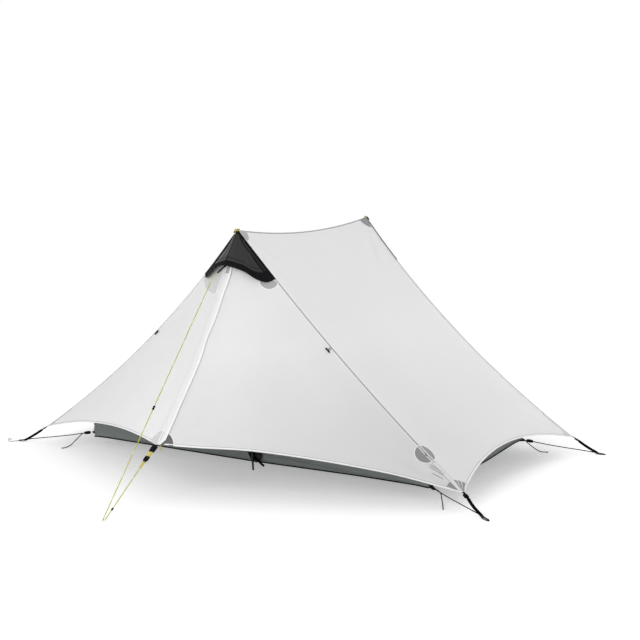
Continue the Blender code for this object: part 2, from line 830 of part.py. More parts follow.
def hip_toggle(half, name, hand):
    """A toggle on its loop, lying on the side panel beside a hip, to hold a rolled door."""
    outline = (
        (-TOGGLE_STEM_HALF, TOGGLE_STEM_TOP),
        (TOGGLE_STEM_HALF, TOGGLE_STEM_TOP),
        (TOGGLE_STEM_HALF, TOGGLE_BAR_TOP),
        (TOGGLE_BAR_HALF, TOGGLE_BAR_TOP),
        (TOGGLE_BAR_HALF, TOGGLE_BAR_FOOT),
        (-TOGGLE_BAR_HALF, TOGGLE_BAR_FOOT),
        (-TOGGLE_BAR_HALF, TOGGLE_BAR_TOP),
        (-TOGGLE_STEM_HALF, TOGGLE_BAR_TOP),
    )
    obj = flat_outline(name, outline, TOGGLE_THICK)
    finish(obj, name, half, PLASTIC_LOOK)
    place = hip(hand)(TOGGLE_SHARE)
    along = (hip(hand)(TOGGLE_SHARE + 0.01) - hip(hand)(TOGGLE_SHARE - 0.01)) * hand
    out = (SEAM(TOGGLE_SHARE) - place).cross(along).normalized()
    obj.location = place + out * TOGGLE_OUT
    obj.rotation_euler = facing(out, along)


def build_half(half, side):
    """Everything on one half; on the far half the right hand is the tent's left."""
    right, left = ("right", "left") if side == "near" else ("left", "right")
    fly_end(half, "fly_end_" + right)
    fixed_panel(half, side + "_fixed_panel")
    hip_panel(half, side + "_hip_panel")
    door_panel(half, side + "_door_panel")
    vent_hood(half, side + "_vent_hood")
    apex_loop(half, side + "_apex_loop")
    fly_zip(half, side + "_fly_zip")
    fly_zip_slider(half, side + "_fly_zip_slider")
    inner_end(half, "inner_end_wall_" + right)
    inner_fixed_wall(half, side + "_inner_fixed_wall")
    inner_door(half, side + "_inner_door")
    inner_zip_slider(half, side + "_inner_zip_slider")
    pole_upper_tube(half, side + "_pole_upper_tube")
    pole_lower_tube(half, side + "_pole_lower_tube")
    pole_lock_lever(half, side + "_pole_lock_lever")
    pole_tab(half, side + "_pole_tab")
    hem_buckle(half, side + "_hem_buckle")
    apex_guy(half, side + "_apex_guy")
    vestibule_cord(half, side + "_vestibule_cord")
    bead(half, side + "_guy_tensioner", GUY_START, GUY_END, TENSIONER_SHARE,
         TENSIONER_RADIUS, TENSIONER_LENGTH)
    bead(half, side + "_cord_lock", CORD_START, CORD_END, CORD_LOCK_SHARE,
         LOCK_RADIUS, LOCK_LENGTH)
    for hand, word in ((1, right), (-1, left)):
        corner_strap(half, f"{side}_{word}_corner_strap", hand)
        ladder_buckle(half, f"{side}_{word}_ladder_buckle", hand)
        corner_cord(half, f"{side}_{word}_corner_cord", hand)
        hip_toggle(half, f"{side}_{word}_hip_toggle", hand)


def main():
    clear_scene()
    frames = half_frames()
    floor_tub(frames["near"], "floor_tub")
    for side, half in frames.items():
        build_half(half, side)


main()
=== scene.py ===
"""The looks of a pitched two-person backpacking tent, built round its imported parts.

Metres, +Z up, the near vestibule towards -Y. Everything is modelled for the near
half and turned by 180 degrees for the far half, as the tent itself is sewn.
"""

import math

import bmesh
import bpy
import numpy as np
from mathutils import Matrix, Vector, noise
from mathutils.bvhtree import BVHTree


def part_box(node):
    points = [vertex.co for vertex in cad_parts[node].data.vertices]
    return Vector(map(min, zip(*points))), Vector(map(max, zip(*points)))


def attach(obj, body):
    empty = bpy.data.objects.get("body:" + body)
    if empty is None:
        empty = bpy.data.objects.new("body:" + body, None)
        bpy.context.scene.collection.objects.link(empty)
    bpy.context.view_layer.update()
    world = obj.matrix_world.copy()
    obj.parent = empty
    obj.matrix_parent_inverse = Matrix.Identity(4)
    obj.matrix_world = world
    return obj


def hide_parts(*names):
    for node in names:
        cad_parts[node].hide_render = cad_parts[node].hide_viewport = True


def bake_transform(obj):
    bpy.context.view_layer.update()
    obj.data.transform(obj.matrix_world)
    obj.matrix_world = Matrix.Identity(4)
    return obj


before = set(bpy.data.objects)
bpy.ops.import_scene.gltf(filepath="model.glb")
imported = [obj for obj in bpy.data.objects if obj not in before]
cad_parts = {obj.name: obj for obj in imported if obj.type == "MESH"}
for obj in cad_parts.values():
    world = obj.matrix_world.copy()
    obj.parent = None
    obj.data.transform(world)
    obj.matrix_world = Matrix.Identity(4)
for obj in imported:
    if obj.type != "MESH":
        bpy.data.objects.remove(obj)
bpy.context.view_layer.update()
scene = bpy.context.scene

# Driving sizes of the pitched fly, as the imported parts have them
APEX_HEIGHT = 1.25
RIDGE_HALF = 0.643
CORNER_ALONG = 1.304
CORNER_ACROSS = 0.682
CORNER_HEIGHT = 0.089
HEM_POINT_OUT = 1.312
HEM_POINT_HEIGHT = 0.276
PEG_ALONG = 1.458
PEG_ACROSS = 0.747
VESTIBULE_PEG_OUT = 1.703
RIDGE_SAG = Vector((0.0, 0.0, -0.045))
HIP_SAG = Vector((-0.038, 0.042, -0.038))
SEAM_SAG = Vector((0.0, 0.037, -0.026))
END_HEM_SAG = Vector((-0.092, 0.0, 0.093))
DOOR_HEM_SAG = Vector((0.0, 0.014, 0.030))
FIXED_HEM_SAG = Vector((0.0, 0.033, 0.055))
DOOR_HEM_LIFT = 0.0128
DOOR_TOP_SHARE = 0.26
DOOR_FOLD = 0.10
FLAP_WIDTH = 0.034
FLAP_STEP_OUT = 0.014
SEAM_GAP = 0.003

# The inner tent
FLOOR_LENGTH = 2.10
FLOOR_WIDTH = 1.10
TUB_FLAT_MARGIN = 0.26
TUB_SEAM_HEIGHT = 0.042
TUB_WALL_TOP = 0.17
TUB_WALL_LEAN = 0.012
TUB_INSET = 0.0012
TUB_RUCK = 0.0022
RUCK_FROM = 0.62
TIE_PULL = (0.011, 0.015)
TIE_REACH = 0.045
TIE_HEIGHT = 0.066
INNER_APEX_HEIGHT = 1.12
INNER_APEX_ACROSS = 0.60
INNER_RIDGE_SAG = Vector((0.0, 0.0, -0.03))
INNER_SLOT = 0.012

# The vent hood
HOOD_SHARE = 0.185
HOOD_LIFT = Vector((0.0, -0.0015, 0.0045))
BRIM_DIP = Vector((0.190, -0.660, 1.001))
BRIM_RISE = Vector((0.150, -0.698, 1.018))
BRIM_SHOULDER = Vector((0.100, -0.736, 1.057))
BRIM_TOP = Vector((0.0, -0.757, 1.081))
BRIM_STEPS = 48
HOOD_CREASE = 0.004
HOOD_HOLLOW = 0.011
HOOD_FOLD = 0.0016

# Cloth as it is drawn, a little thicker than the real one so that it holds in a mesh
CLOTH = 0.0006
NET_THICK = 0.0004
HEM_THICK = 0.0016
LAYER = 0.0007
THREAD_RADIUS = 0.0009
THREAD_STEPS = 60
HEM_DROP = 0.0095 / 1.15
END_HEM_DROP = 0.010 / 1.55
SEAM_REACH = 0.011 / 2.0
END_PANEL_LENGTH = 1.33
TAPE_END = 0.885
PATCH_LIFT = 0.0011
TAPE_LIFT = 0.0012
CREST_LIFT = 0.0022
SEAM_GROWTH = 0.45

# Poles, webbing and cords
POLE_FOOT_ACROSS = 0.57
POLE_FOOT_ALONG = 0.039
POLE_JOIN = 0.62
COLLAR_LENGTH = 0.04
COLLAR_RADIUS = 0.0125
WEBBING_WIDTH = 0.015
WEBBING_THICK = 0.0016
STRAP_BEFORE_PEG = 0.024
STRAP_PAST_PEG = 0.010
STRAP_DROOP = 0.003
STRAP_UNDERLAP = 0.010
STRAP_SLOT_HALF = 0.13
STRAP_SLOT = (0.27, 0.43)
STRAP_BARS = (0.70, 0.74)
STRAP_ROLLS = {1: 0.65, -1: 0.65 * 1.6}
LADDER_SIZE = Vector((0.021, 0.024, 0.0062))
LADDER_START = 0.006
LADDER_TO_STRAP = 0.006
GUY_RADIUS = 0.0022
CORD_RADIUS = 0.0025
TENSIONER_SHARE = 0.637
CORD_LOCK_SHARE = 0.82
TOGGLE_SHARE = 0.446
TOGGLE_OUT = 0.0065
TOGGLE_REACH = 0.0245
GUY_LEAD_HEIGHT = 1.05
GUY_CLEAR_SHARE = 0.175

APEX = Vector((0.0, -RIDGE_HALF, APEX_HEIGHT))
FAR_APEX = Vector((0.0, RIDGE_HALF, APEX_HEIGHT))
HEM_POINT = Vector((0.0, -HEM_POINT_OUT, HEM_POINT_HEIGHT))
VESTIBULE_PEG = Vector((0.0, -VESTIBULE_PEG_OUT, 0.0))
INNER_APEX = Vector((0.0, -INNER_APEX_ACROSS, INNER_APEX_HEIGHT))
LENGTHWISE = Vector((1.0, 0.0, 0.0))
UP = Vector((0.0, 0.0, 1.0))
SIDE_NORMAL = Vector((0.434, -0.756, 0.497)).normalized()
END_NORMAL = Vector((0.661, 0.0, 0.750)).normalized()
HALF_TURN = Matrix.Rotation(math.pi, 4, "Z")
TURNS = {"near": Matrix.Identity(4), "far": HALF_TURN}
WORDS = {"near": ("right", "left"), "far": ("left", "right")}
ROOT = "pitched_tent"


# Camera and light

CAMERA_TARGET = Vector((0.143, -0.087, 0.740))
CAMERA_DISTANCE = 7.162
CAMERA_AZIMUTH = math.radians(32.10)
CAMERA_ELEVATION = math.radians(7.94)
CAMERA_ROLL = math.radians(0.18)
CAMERA_LENS = 74.76
WHITE = (1.0, 1.0, 1.0, 1.0)
WORLD_LIGHT = 0.64
LAMPS = (("key", Vector((0.6, -5.5, 2.6)), 132.0), ("back", Vector((0.8, 5.0, 3.2)), 90.0))
LAMP_SIZE = 3.5
LAMP_AIM = Vector((0.0, 0.0, 0.5))
FLOOR_REACH = 30.0
FLOOR_TONE = (0.86, 0.86, 0.86, 1.0)
FLOOR_GLOW = 0.35
FLOOR_FADE = (2.6, 5.5)


def place_camera():
    level = math.cos(CAMERA_ELEVATION)
    back = Vector((
        math.sin(CAMERA_AZIMUTH) * level,
        -math.cos(CAMERA_AZIMUTH) * level,
        math.sin(CAMERA_ELEVATION),
    ))
    right = UP.cross(back).normalized()
    up = back.cross(right)
    cos, sin = math.cos(CAMERA_ROLL), math.sin(CAMERA_ROLL)
    right, up = right * cos + up * sin, up * cos - right * sin
    data = bpy.data.cameras.new("camera")
    data.lens = CAMERA_LENS
    camera = bpy.data.objects.new("camera", data)
    turn = Matrix((right, up, back)).transposed().to_4x4()
    camera.matrix_world = Matrix.Translation(CAMERA_TARGET + back * CAMERA_DISTANCE) @ turn
    scene.collection.objects.link(camera)
    scene.camera = camera


def light_the_studio():
    scene.view_settings.view_transform = "Standard"
    world = bpy.data.worlds.new("studio")
    scene.world = world
    world.use_nodes = True
    tree = world.node_tree
    tree.nodes.clear()
    soft = add(tree, "ShaderNodeBackground", Color=WHITE, Strength=WORLD_LIGHT)
    seen = add(tree, "ShaderNodeBackground", Color=WHITE, Strength=1.0)
    both = between(tree, seen_directly(tree), soft.outputs[0], seen.outputs[0])
    fill(add(tree, "ShaderNodeOutputWorld"), Surface=both)
    for name, place, power in LAMPS:
        data = bpy.data.lights.new(name, "AREA")
        data.shape = "DISK"
        data.size = LAMP_SIZE
        data.energy = power
        lamp = bpy.data.objects.new(name, data)
        lamp.location = place
        lamp.rotation_euler = (LAMP_AIM - place).to_track_quat("-Z", "Y").to_euler()
        scene.collection.objects.link(lamp)


def seen_directly(tree):
    """1 for what the camera, a mirror or glass sees, and 0 for what lights the object."""
    path = add(tree, "ShaderNodeLightPath")
    both = math_node(tree, "MAXIMUM", path.outputs["Is Camera Ray"], path.outputs["Is Glossy Ray"])
    return math_node(tree, "MAXIMUM", both, path.outputs["Is Transmission Ray"])


def lay_floor():
    """A pale floor that keeps the tent's shadow and turns plain white far from it."""
    bm = bmesh.new()
    bmesh.ops.create_grid(bm, x_segments=1, y_segments=1, size=FLOOR_REACH)
    floor = new_object("studio_floor", bm)
    skin, tree, shader = start_material("studio_floor", 1.0, specular=0.0)
    fill(shader, Base_Color=FLOOR_TONE)
    away = add(tree, "ShaderNodeVectorMath", "LENGTH")
    tree.links.new(object_place(tree), away.inputs[0])
    far = add(tree, "ShaderNodeMapRange", From_Min=FLOOR_FADE[0], From_Max=FLOOR_FADE[1],
              Value=away.outputs["Value"])
    far.interpolation_type = "SMOOTHSTEP"
    white = add(tree, "ShaderNodeEmission", Color=WHITE, Strength=1.0)
    glow = add(tree, "ShaderNodeEmission", Color=WHITE,
               Strength=math_node(tree, "MULTIPLY", seen_directly(tree), FLOOR_GLOW))
    near = add(tree, "ShaderNodeAddShader")
    tree.links.new(shader.outputs[0], near.inputs[0])
    tree.links.new(glow.outputs[0], near.inputs[1])
    fill(tree.nodes["Material Output"],
         Surface=between(tree, far.outputs[0], near.outputs[0], white.outputs[0]))
    floor.data.materials.append(skin)


# Node building

NUMBER, VECTOR, COLOUR = "NodeSocketFloat", "NodeSocketVector", "NodeSocketColor"
GRID_SHARPNESS = 24.0
THREAD_SHARE = 0.25


def fill(node, **values):
    """Gives a node's named inputs a value each, or what another node puts out."""
    for name, value in values.items():
        socket = node.inputs[name.replace("_", " ")]
        if isinstance(value, bpy.types.NodeSocket):
            node.id_data.links.new(value, socket)
        else:
            socket.default_value = value
    return node


def add(tree, kind, operation=None, **values):
    node = tree.nodes.new(kind)
    if operation is not None:
        node.operation = operation
    return fill(node, **values)


def math_node(tree, operation, *given):
    node = add(tree, "ShaderNodeMath", operation)
    for socket, value in zip(node.inputs, given):
        if isinstance(value, float):
            socket.default_value = value
        else:
            tree.links.new(value, socket)
    return node.outputs[0]


def between(tree, *given):
    """A share and the two shaders that it mixes, as one shader."""
    mix = add(tree, "ShaderNodeMixShader")
    for socket, value in zip(mix.inputs, given):
        tree.links.new(value, socket)
    return mix.outputs[0]


def object_place(tree):
    return add(tree, "ShaderNodeTexCoord").outputs["Object"]


def split(tree, vector):
    """The three numbers of a vector."""
    return add(tree, "ShaderNodeSeparateXYZ", Vector=vector).outputs[:]


def scaled(tree, colour, share):
    node = add(tree, "ShaderNodeVectorMath", "SCALE", Scale=share)
    tree.links.new(colour, node.inputs[0])
    return node.outputs[0]


def mixed(tree, share, first, second, blend="MIX"):
    """A colour that another node puts out, with a plain second colour over it by a share."""
    node = add(tree, "ShaderNodeMix")
    node.data_type = "RGBA"
    node.blend_type = blend
    under, over = [socket for socket in node.inputs if socket.type == "RGBA"]
    over.default_value = (*second, 1.0)
    tree.links.new(share, node.inputs[0])
    tree.links.new(first, under)
    return next(socket for socket in node.outputs if socket.type == "RGBA")


def node_group(name, inputs, outputs):
    """An empty group with named sockets, what comes into it, and its end node."""
    tree = bpy.data.node_groups.new(name, "ShaderNodeTree")
    for label, kind, value in inputs:
        socket = tree.interface.new_socket(label, in_out="INPUT", socket_type=kind)
        if value is not None:
            socket.default_value = value
    for label, kind in outputs:
        tree.interface.new_socket(label, in_out="OUTPUT", socket_type=kind)
    start, end = tree.nodes.new("NodeGroupInput"), tree.nodes.new("NodeGroupOutput")
    return tree, {label: start.outputs[label] for label, _, _ in inputs}, end


def wave(tree, value, size):
    """A smooth wave from 0 to 1 that repeats at every size along a value."""
    angle = math_node(tree, "MULTIPLY", math_node(tree, "DIVIDE", value, size), 2.0 * math.pi)
    return math_node(tree, "MULTIPLY_ADD", math_node(tree, "SINE", angle), 0.5, 0.5)


def make_weave_group():
    """Crossed threads, with a thicker thread at every grid size, from a vector in metres."""
    tree, given, end = node_group(
        "weave",
        (("Vector", VECTOR, None), ("Thread", NUMBER, 0.001), ("Grid", NUMBER, 0.005)),
        (("Height", NUMBER), ("Grid", NUMBER)),
    )
    ways = split(tree, given["Vector"])[:2]
    threads = math_node(tree, "ADD", *(wave(tree, way, given["Thread"]) for way in ways))
    ridges = [math_node(tree, "POWER", wave(tree, way, given["Grid"]), GRID_SHARPNESS)
              for way in ways]
    grid = math_node(tree, "MAXIMUM", *ridges)
    fill(end, Height=math_node(tree, "MULTIPLY_ADD", threads, THREAD_SHARE, grid), Grid=grid)
    return tree


def make_tone_group():
    """A colour that drifts lighter and darker over the surface, and a mask of the drift."""
    tree, given, end = node_group(
        "uneven_tone",
        (("Color", COLOUR, (0.5, 0.5, 0.5, 1.0)), ("Size", NUMBER, 3.0), ("Amount", NUMBER, 0.1)),
        (("Color", COLOUR), ("Mask", NUMBER)),
    )
    drift = add(tree, "ShaderNodeTexNoise", Detail=5.0, Roughness=0.55, Vector=object_place(tree),
                Scale=given["Size"]).outputs["Fac"]
    spread = math_node(tree, "MULTIPLY", math_node(tree, "SUBTRACT", drift, 0.5), 2.0)
    factor = math_node(tree, "MULTIPLY_ADD", spread, given["Amount"], 1.0)
    fill(end, Color=scaled(tree, given["Color"], factor), Mask=drift)
    return tree


def make_dust_group():
    """Dry dust that thins out upwards from the ground, as a mask."""
    tree, given, end = node_group(
        "ground_dust", (("Reach", NUMBER, 0.05), ("Amount", NUMBER, 0.5)), (("Mask", NUMBER),)
    )
    place = object_place(tree)
    low = math_node(tree, "DIVIDE", split(tree, place)[2], given["Reach"])
    near_ground = math_node(tree, "SUBTRACT", 1.0, low)
    near_ground.node.use_clamp = True
    specks = add(tree, "ShaderNodeTexNoise", Scale=60.0, Detail=6.0, Roughness=0.7, Vector=place)
    patchy = math_node(tree, "MULTIPLY", near_ground, specks.outputs["Fac"])
    fill(end, Mask=math_node(tree, "MULTIPLY", patchy, given["Amount"]))
    return tree


def make_grain_group():
    """Fine moulded or anodised grain as a height, from object coordinates."""
    tree, given, end = node_group(
        "grain", (("Size", NUMBER, 900.0), ("Stretch", NUMBER, 1.0)), (("Height", NUMBER),)
    )
    long = add(tree, "ShaderNodeCombineXYZ", X=1.0, Y=1.0, Z=given["Stretch"])
    shaped = add(tree, "ShaderNodeVectorMath", "MULTIPLY")
    tree.links.new(object_place(tree), shaped.inputs[0])
    tree.links.new(long.outputs[0], shaped.inputs[1])
    speck = add(tree, "ShaderNodeTexNoise", Detail=3.0, Vector=shaped.outputs[0], Scale=given["Size"])
    fill(end, Height=speck.outputs["Fac"])
    return tree


WEAVE = make_weave_group()
TONE = make_tone_group()
DUST = make_dust_group()
GRAIN = make_grain_group()


# Materials

CLOTH_THREAD = 0.0009
CLOTH_DRIFT_SIZE = 2.6
GRID_SHADE = 0.93
# Heights between which the painted shade on the fly cloth fades out
PAINTED_SHADE_FROM, PAINTED_SHADE_TO = 0.12, 0.70
NET_MESH = 0.0016
FLECK_SPACING = 0.0165
FLECK_SHARPNESS = 30.0
STRAND_SPACING = 0.0022
COIL_HALF = 0.0028
TOOTH_SPACING = 0.0021


def use_group(tree, group, **values):
    node = tree.nodes.new("ShaderNodeGroup")
    node.node_tree = group
    return fill(node, **values).outputs


def woven(tree, thread, grid):
    """The weave on the piece's own flat map."""
    return use_group(tree, WEAVE, Vector=add(tree, "ShaderNodeUVMap").outputs[0], Thread=thread, Grid=grid)


def uneven(tree, colour, size, amount):
    return use_group(tree, TONE, Color=(*colour, 1.0), Size=size, Amount=amount)


def start_material(name, rough, metal=0.0, specular=0.5, sheen=0.0):
    skin = bpy.data.materials.new(name)
    skin.use_nodes = True
    shader = skin.node_tree.nodes["Principled BSDF"]
    fill(shader, Roughness=rough, Metallic=metal, Specular_IOR_Level=specular, Sheen_Weight=sheen)
    return skin, skin.node_tree, shader


def bump(tree, shader, height, strength, distance):
    relief = add(tree, "ShaderNodeBump", Strength=strength, Distance=distance, Height=height)
    fill(shader, Normal=relief.outputs[0])


def toned(tree, shader, colour, size, amount):
    """Uneven colour on the base, and the mask that it follows."""
    tone = uneven(tree, colour, size, amount)
    fill(shader, Base_Color=tone["Color"])
    return tone["Mask"]


def rough_range(tree, shader, mask, low, high):
    spread = add(tree, "ShaderNodeMapRange", To_Min=low, To_Max=high, Value=mask)
    fill(shader, Roughness=spread.outputs[0])


def cloth_material(name, colour, rough=0.55, grid=0.0055, depth=0.00012, sheen=0.0, drift=0.03, glow=0.0,
                   specular=0.5, painted_low_shade=1.0):
    """Woven cloth on the piece's own flat map, with a ripstop grid in colour and relief, and painted shade
    that darkens it towards the ground.
    """
    skin, tree, shader = start_material(name, rough, sheen=sheen, specular=specular)
    weave = woven(tree, CLOTH_THREAD, grid)
    tone = uneven(tree, colour, CLOTH_DRIFT_SIZE, drift)
    base = tone["Color"]
    # Painted shade: the base colour is scaled down from full at the upper height to the low-shade factor at
    # the lower height.
    if painted_low_shade < 1.0:
        painted_shade = add(tree, "ShaderNodeMapRange", From_Min=PAINTED_SHADE_FROM, From_Max=PAINTED_SHADE_TO,
                     To_Min=painted_low_shade, To_Max=1.0, Value=split(tree, object_place(tree))[2])
        base = scaled(tree, base, painted_shade.outputs[0])
    fill(shader, Base_Color=mixed(tree, weave["Grid"], base, grey(GRID_SHADE), "MULTIPLY"))
    rough_range(tree, shader, tone["Mask"], rough - 0.06, rough + 0.08)
    bump(tree, shader, weave["Height"], 0.35, depth)
    if glow > 0.0:
        fill(shader, Subsurface_Weight=glow, Subsurface_Radius=grey(1.0), Subsurface_Scale=0.02)
    return skin


def grey(tone):
    return (tone, tone, tone)


def webbing_material(name, colour, rough=0.75, specular=0.3, sheen=0.25):
    """Ribbed webbing: bars across the strap on its own map."""
    skin, tree, shader = start_material(name, rough, specular=specular, sheen=sheen)
    rough_range(tree, shader, toned(tree, shader, colour, 40.0, 0.25), rough - 0.08, rough + 0.08)
    bump(tree, shader, woven(tree, 0.0016, 0.005)["Height"], 0.8, 0.0005)
    return skin


def net_material():
    """Fine netting: dark threads with see-through holes."""
    skin, tree, shader = start_material("inner_netting", 0.8, specular=0.2)
    height = woven(tree, NET_MESH, NET_MESH)["Height"]
    toned(tree, shader, (0.045, 0.05, 0.055), 4.0, 0.15)
    cover = add(tree, "ShaderNodeMapRange", To_Min=0.45, To_Max=0.95, Value=height)
    fill(shader, Alpha=cover.outputs[0])
    bump(tree, shader, height, 0.5, 0.0003)
    return skin


def tub_material():
    """Coated cloth with dust along its foot."""
    skin, tree, shader = start_material("tub_cloth", 0.42)
    tone = uneven(tree, (0.235, 0.26, 0.25), 5.0, 0.16)
    dust = use_group(tree, DUST, Reach=0.03, Amount=0.45)["Mask"]
    fill(shader, Base_Color=mixed(tree, dust, tone["Color"], (0.30, 0.29, 0.26)))
    rough_range(tree, shader, tone["Mask"], 0.34, 0.56)
    bump(tree, shader, woven(tree, 0.0010, 0.0060)["Height"], 0.35, 0.00015)
    return skin


def plastic_material(name, colour, rough):
    skin, tree, shader = start_material(name, rough, specular=0.06)
    rough_range(tree, shader, toned(tree, shader, colour, 30.0, 0.2), rough - 0.08, rough + 0.14)
    bump(tree, shader, use_group(tree, GRAIN, Size=1500.0)["Height"], 0.5, 0.0001)
    return skin


def cord_material(name, colour, fleck, rough=0.65, black_above=None):
    """Braided cord: slanting strands with flecks of a second colour, and a black top above a height."""
    skin, tree, shader = start_material(name, rough, specular=0.2)
    x, y, z = split(tree, object_place(tree))
    length = math_node(tree, "ADD", x, math_node(tree, "SUBTRACT", z, y))
    flecks = math_node(tree, "POWER", wave(tree, length, FLECK_SPACING), FLECK_SHARPNESS)
    base = mixed(tree, flecks, uneven(tree, colour, 60.0, 0.12)["Color"], fleck)
    if black_above is not None:
        base = mixed(tree, math_node(tree, "GREATER_THAN", z, black_above), base, (0.015, 0.015, 0.016))
    fill(shader, Base_Color=base)
    bump(tree, shader, wave(tree, length, STRAND_SPACING), 0.7, 0.0004)
    return skin


def pole_material(name, colour, rough, foot_height=0.0):
    """Anodised tube with fine drawn lines, and a dull tip up to a height."""
    metal = 0.85
    skin, tree, shader = start_material(name, rough, metal=metal)
    drift = toned(tree, shader, colour, 14.0, 0.1)
    bump(tree, shader, use_group(tree, GRAIN, Size=1400.0, Stretch=0.02)["Height"], 0.25, 0.0001)
    if foot_height > 0.0:
        tube_part = math_node(tree, "GREATER_THAN", split(tree, object_place(tree))[2], foot_height)
        fill(shader, Metallic=math_node(tree, "MULTIPLY", tube_part, metal))
        rough_range(tree, shader, tube_part, 0.85, rough)
    else:
        rough_range(tree, shader, drift, rough - 0.06, rough + 0.10)
    return skin


def zip_material():
    """Zip tape with a coil of teeth down its middle, on the tape's own map."""
    skin, tree, shader = start_material("zip_tape", 0.6)
    across, along, _ = split(tree, add(tree, "ShaderNodeUVMap").outputs[0])
    middle = math_node(tree, "LESS_THAN", math_node(tree, "ABSOLUTE", across), COIL_HALF)
    relief = math_node(tree, "MULTIPLY", wave(tree, along, TOOTH_SPACING), middle)
    toned(tree, shader, (0.022, 0.022, 0.024), 30.0, 0.2)
    rough_range(tree, shader, relief, 0.72, 0.38)
    bump(tree, shader, relief, 1.0, 0.0012)
    return skin


FLY_LOOK = {"rough": 0.46, "sheen": 0.1, "drift": 0.05, "glow": 0.25}
FLY = cloth_material("fly_cloth", grey(0.90), **FLY_LOOK)
# Painted shade: the door and end panels are darker copies of the same fly cloth, and their colour darkens
# further towards the ground.
SHADED_DOOR_FLY = cloth_material("door_cloth", grey(0.88), painted_low_shade=0.77, **FLY_LOOK)
SHADED_END_FLY = cloth_material("end_cloth", grey(0.83), painted_low_shade=0.88, **FLY_LOOK)
FLAP = cloth_material("storm_flap_cloth", grey(0.88), rough=0.48, glow=0.25)
FACING = cloth_material("hip_facing", grey(0.70), rough=0.5, grid=0.0040)
# Hems, edge strips and rings are real folded cloth; their tone, whiter than the fly's, is a painted edge
# highlight.
HEM = cloth_material("fly_hem", grey(0.95), rough=0.5, glow=0.25, grid=0.0040)
# Seam tape and patches are real extra layers on the fly; their grey is painted shade, where the doubled cloth
# lets less light through.
SEAM_TAPE = cloth_material("fly_seam", (0.36, 0.36, 0.365), grid=0.0030)
PATCH = cloth_material("fly_patch", grey(0.36))
DISC_PATCH = cloth_material("disc_patch", grey(0.245))
LIGHT_PATCH = cloth_material("light_patch", grey(0.60))
CHARCOAL = cloth_material("charcoal_patch", (0.035, 0.035, 0.036), rough=0.6, specular=0.2)
FOOT_PATCH = cloth_material("dark_patch", grey(0.10))
STITCH = cloth_material("stitched_rib", grey(0.24), rough=0.6, grid=0.0022, depth=0.0003)
HOOD = cloth_material("hood_cloth", (0.021, 0.020, 0.021), rough=0.40, sheen=0.05, drift=0.45, specular=0.27)
BINDING = webbing_material("black_binding", (0.008, 0.008, 0.009), 0.6, specular=0.03, sheen=0.0)
BLACK_WEBBING = webbing_material("black_webbing", (0.005, 0.005, 0.006), specular=0.0, sheen=0.0)
YELLOW = (webbing_material("yellow_webbing", (0.62, 0.52, 0.09)), "yellow_webbing")
NET = net_material()
TUB = tub_material()
PLASTIC = plastic_material("black_plastic", (0.005, 0.005, 0.006), 0.5)
BRIGHT = plastic_material("grey_screw", (0.35, 0.35, 0.36), 0.3)
GUY = cord_material("yellow_guy_line", (0.46, 0.47, 0.05), (0.75, 0.75, 0.45), 0.6, GUY_LEAD_HEIGHT)
BLACK_CORD = cord_material("black_cord", (0.008, 0.008, 0.009), grey(0.05))
OLIVE_CORD = cord_material("olive_cord", (0.16, 0.16, 0.06), (0.3, 0.3, 0.12))
PALE_CORD = cord_material("pale_cord", (0.45, 0.45, 0.42), (0.6, 0.6, 0.55))
UPPER_TUBE = pole_material("grey_anodised", (0.33, 0.34, 0.36), 0.32)
LOWER_TUBE = pole_material("black_anodised", (0.03, 0.03, 0.032), 0.36, foot_height=0.045)
ZIP = zip_material()


# Points and edges

def mirrored(point, hand):
    """The point on the right (hand 1) or its mirror image on the left (hand -1)."""
    return Vector((point.x * hand, point.y, point.z))


def corner(hand):
    return Vector((CORNER_ALONG * hand, -CORNER_ACROSS, CORNER_HEIGHT))


def drawn(start, end, sag):
    """An edge from start to end whose middle is moved by sag."""
    return lambda t: start.lerp(end, t) + sag * (4.0 * t * (1.0 - t))


def straight(start, end):
    return lambda t: start.lerp(end, t)


def point_edge(point):
    return lambda t: point


def eased(share):
    """From 0 to 1 with a soft start and end."""
    share = min(max(share, 0.0), 1.0)
    return share * share * (3.0 - 2.0 * share)


def hip(hand):
    return drawn(APEX, corner(hand), mirrored(HIP_SAG, hand))


SEAM = drawn(APEX, HEM_POINT, SEAM_SAG)
DOOR_SIDE = Vector((1.0, 0.574, 0.0))
DOOR_UNDERLAP = 0.030
FLAP_SHARES = ((0.0, 1.0), (0.19, 1.0), (0.28, 0.70), (0.40, 0.74), (0.50, 0.60), (0.60, 0.82), (0.80, 0.76),
               (0.93, 0.86), (0.975, 0.90), (1.0, 0.50))


def below_top(t):
    """How wide the storm flap is at a share of the seam, as a share of its full width."""
    return min(t / DOOR_TOP_SHARE, 1.0)


def door_edge(t):
    """The door's zipped edge, tucked a little way under the storm flap."""
    return SEAM(t) + DOOR_SIDE * (FLAP_WIDTH + SEAM_GAP - DOOR_UNDERLAP) * below_top(t)


def flap_edge(t):
    """The storm flap's free edge: how much of its width lies out over the zip changes down the seam."""
    for (high, a), (low, b) in zip(FLAP_SHARES, FLAP_SHARES[1:]):
        if t <= low + 1e-6:
            break
    share = a + (b - a) * eased((t - high) / (low - high))
    return SEAM(t) + Vector((FLAP_WIDTH, FLAP_STEP_OUT, 0.0)) * below_top(t) * share


def rim_corner(hand, side):
    """A corner of the mesh body on the tub's rim."""
    along = FLOOR_LENGTH / 2.0 + TUB_WALL_LEAN
    across = FLOOR_WIDTH / 2.0 + TUB_WALL_LEAN
    return Vector((along * hand, across * side, TUB_WALL_TOP + SEAM_GAP))


def curve_point(before, start, end, after, t):
    """A point on the smooth curve from start to end that comes from before and goes on to after."""
    return (start * 2.0 + (end - before) * t + (before * 2.0 - start * 5.0 + end * 4.0 - after) * t**2
            + (start * 3.0 - before - end * 3.0 + after) * t**3) / 2.0


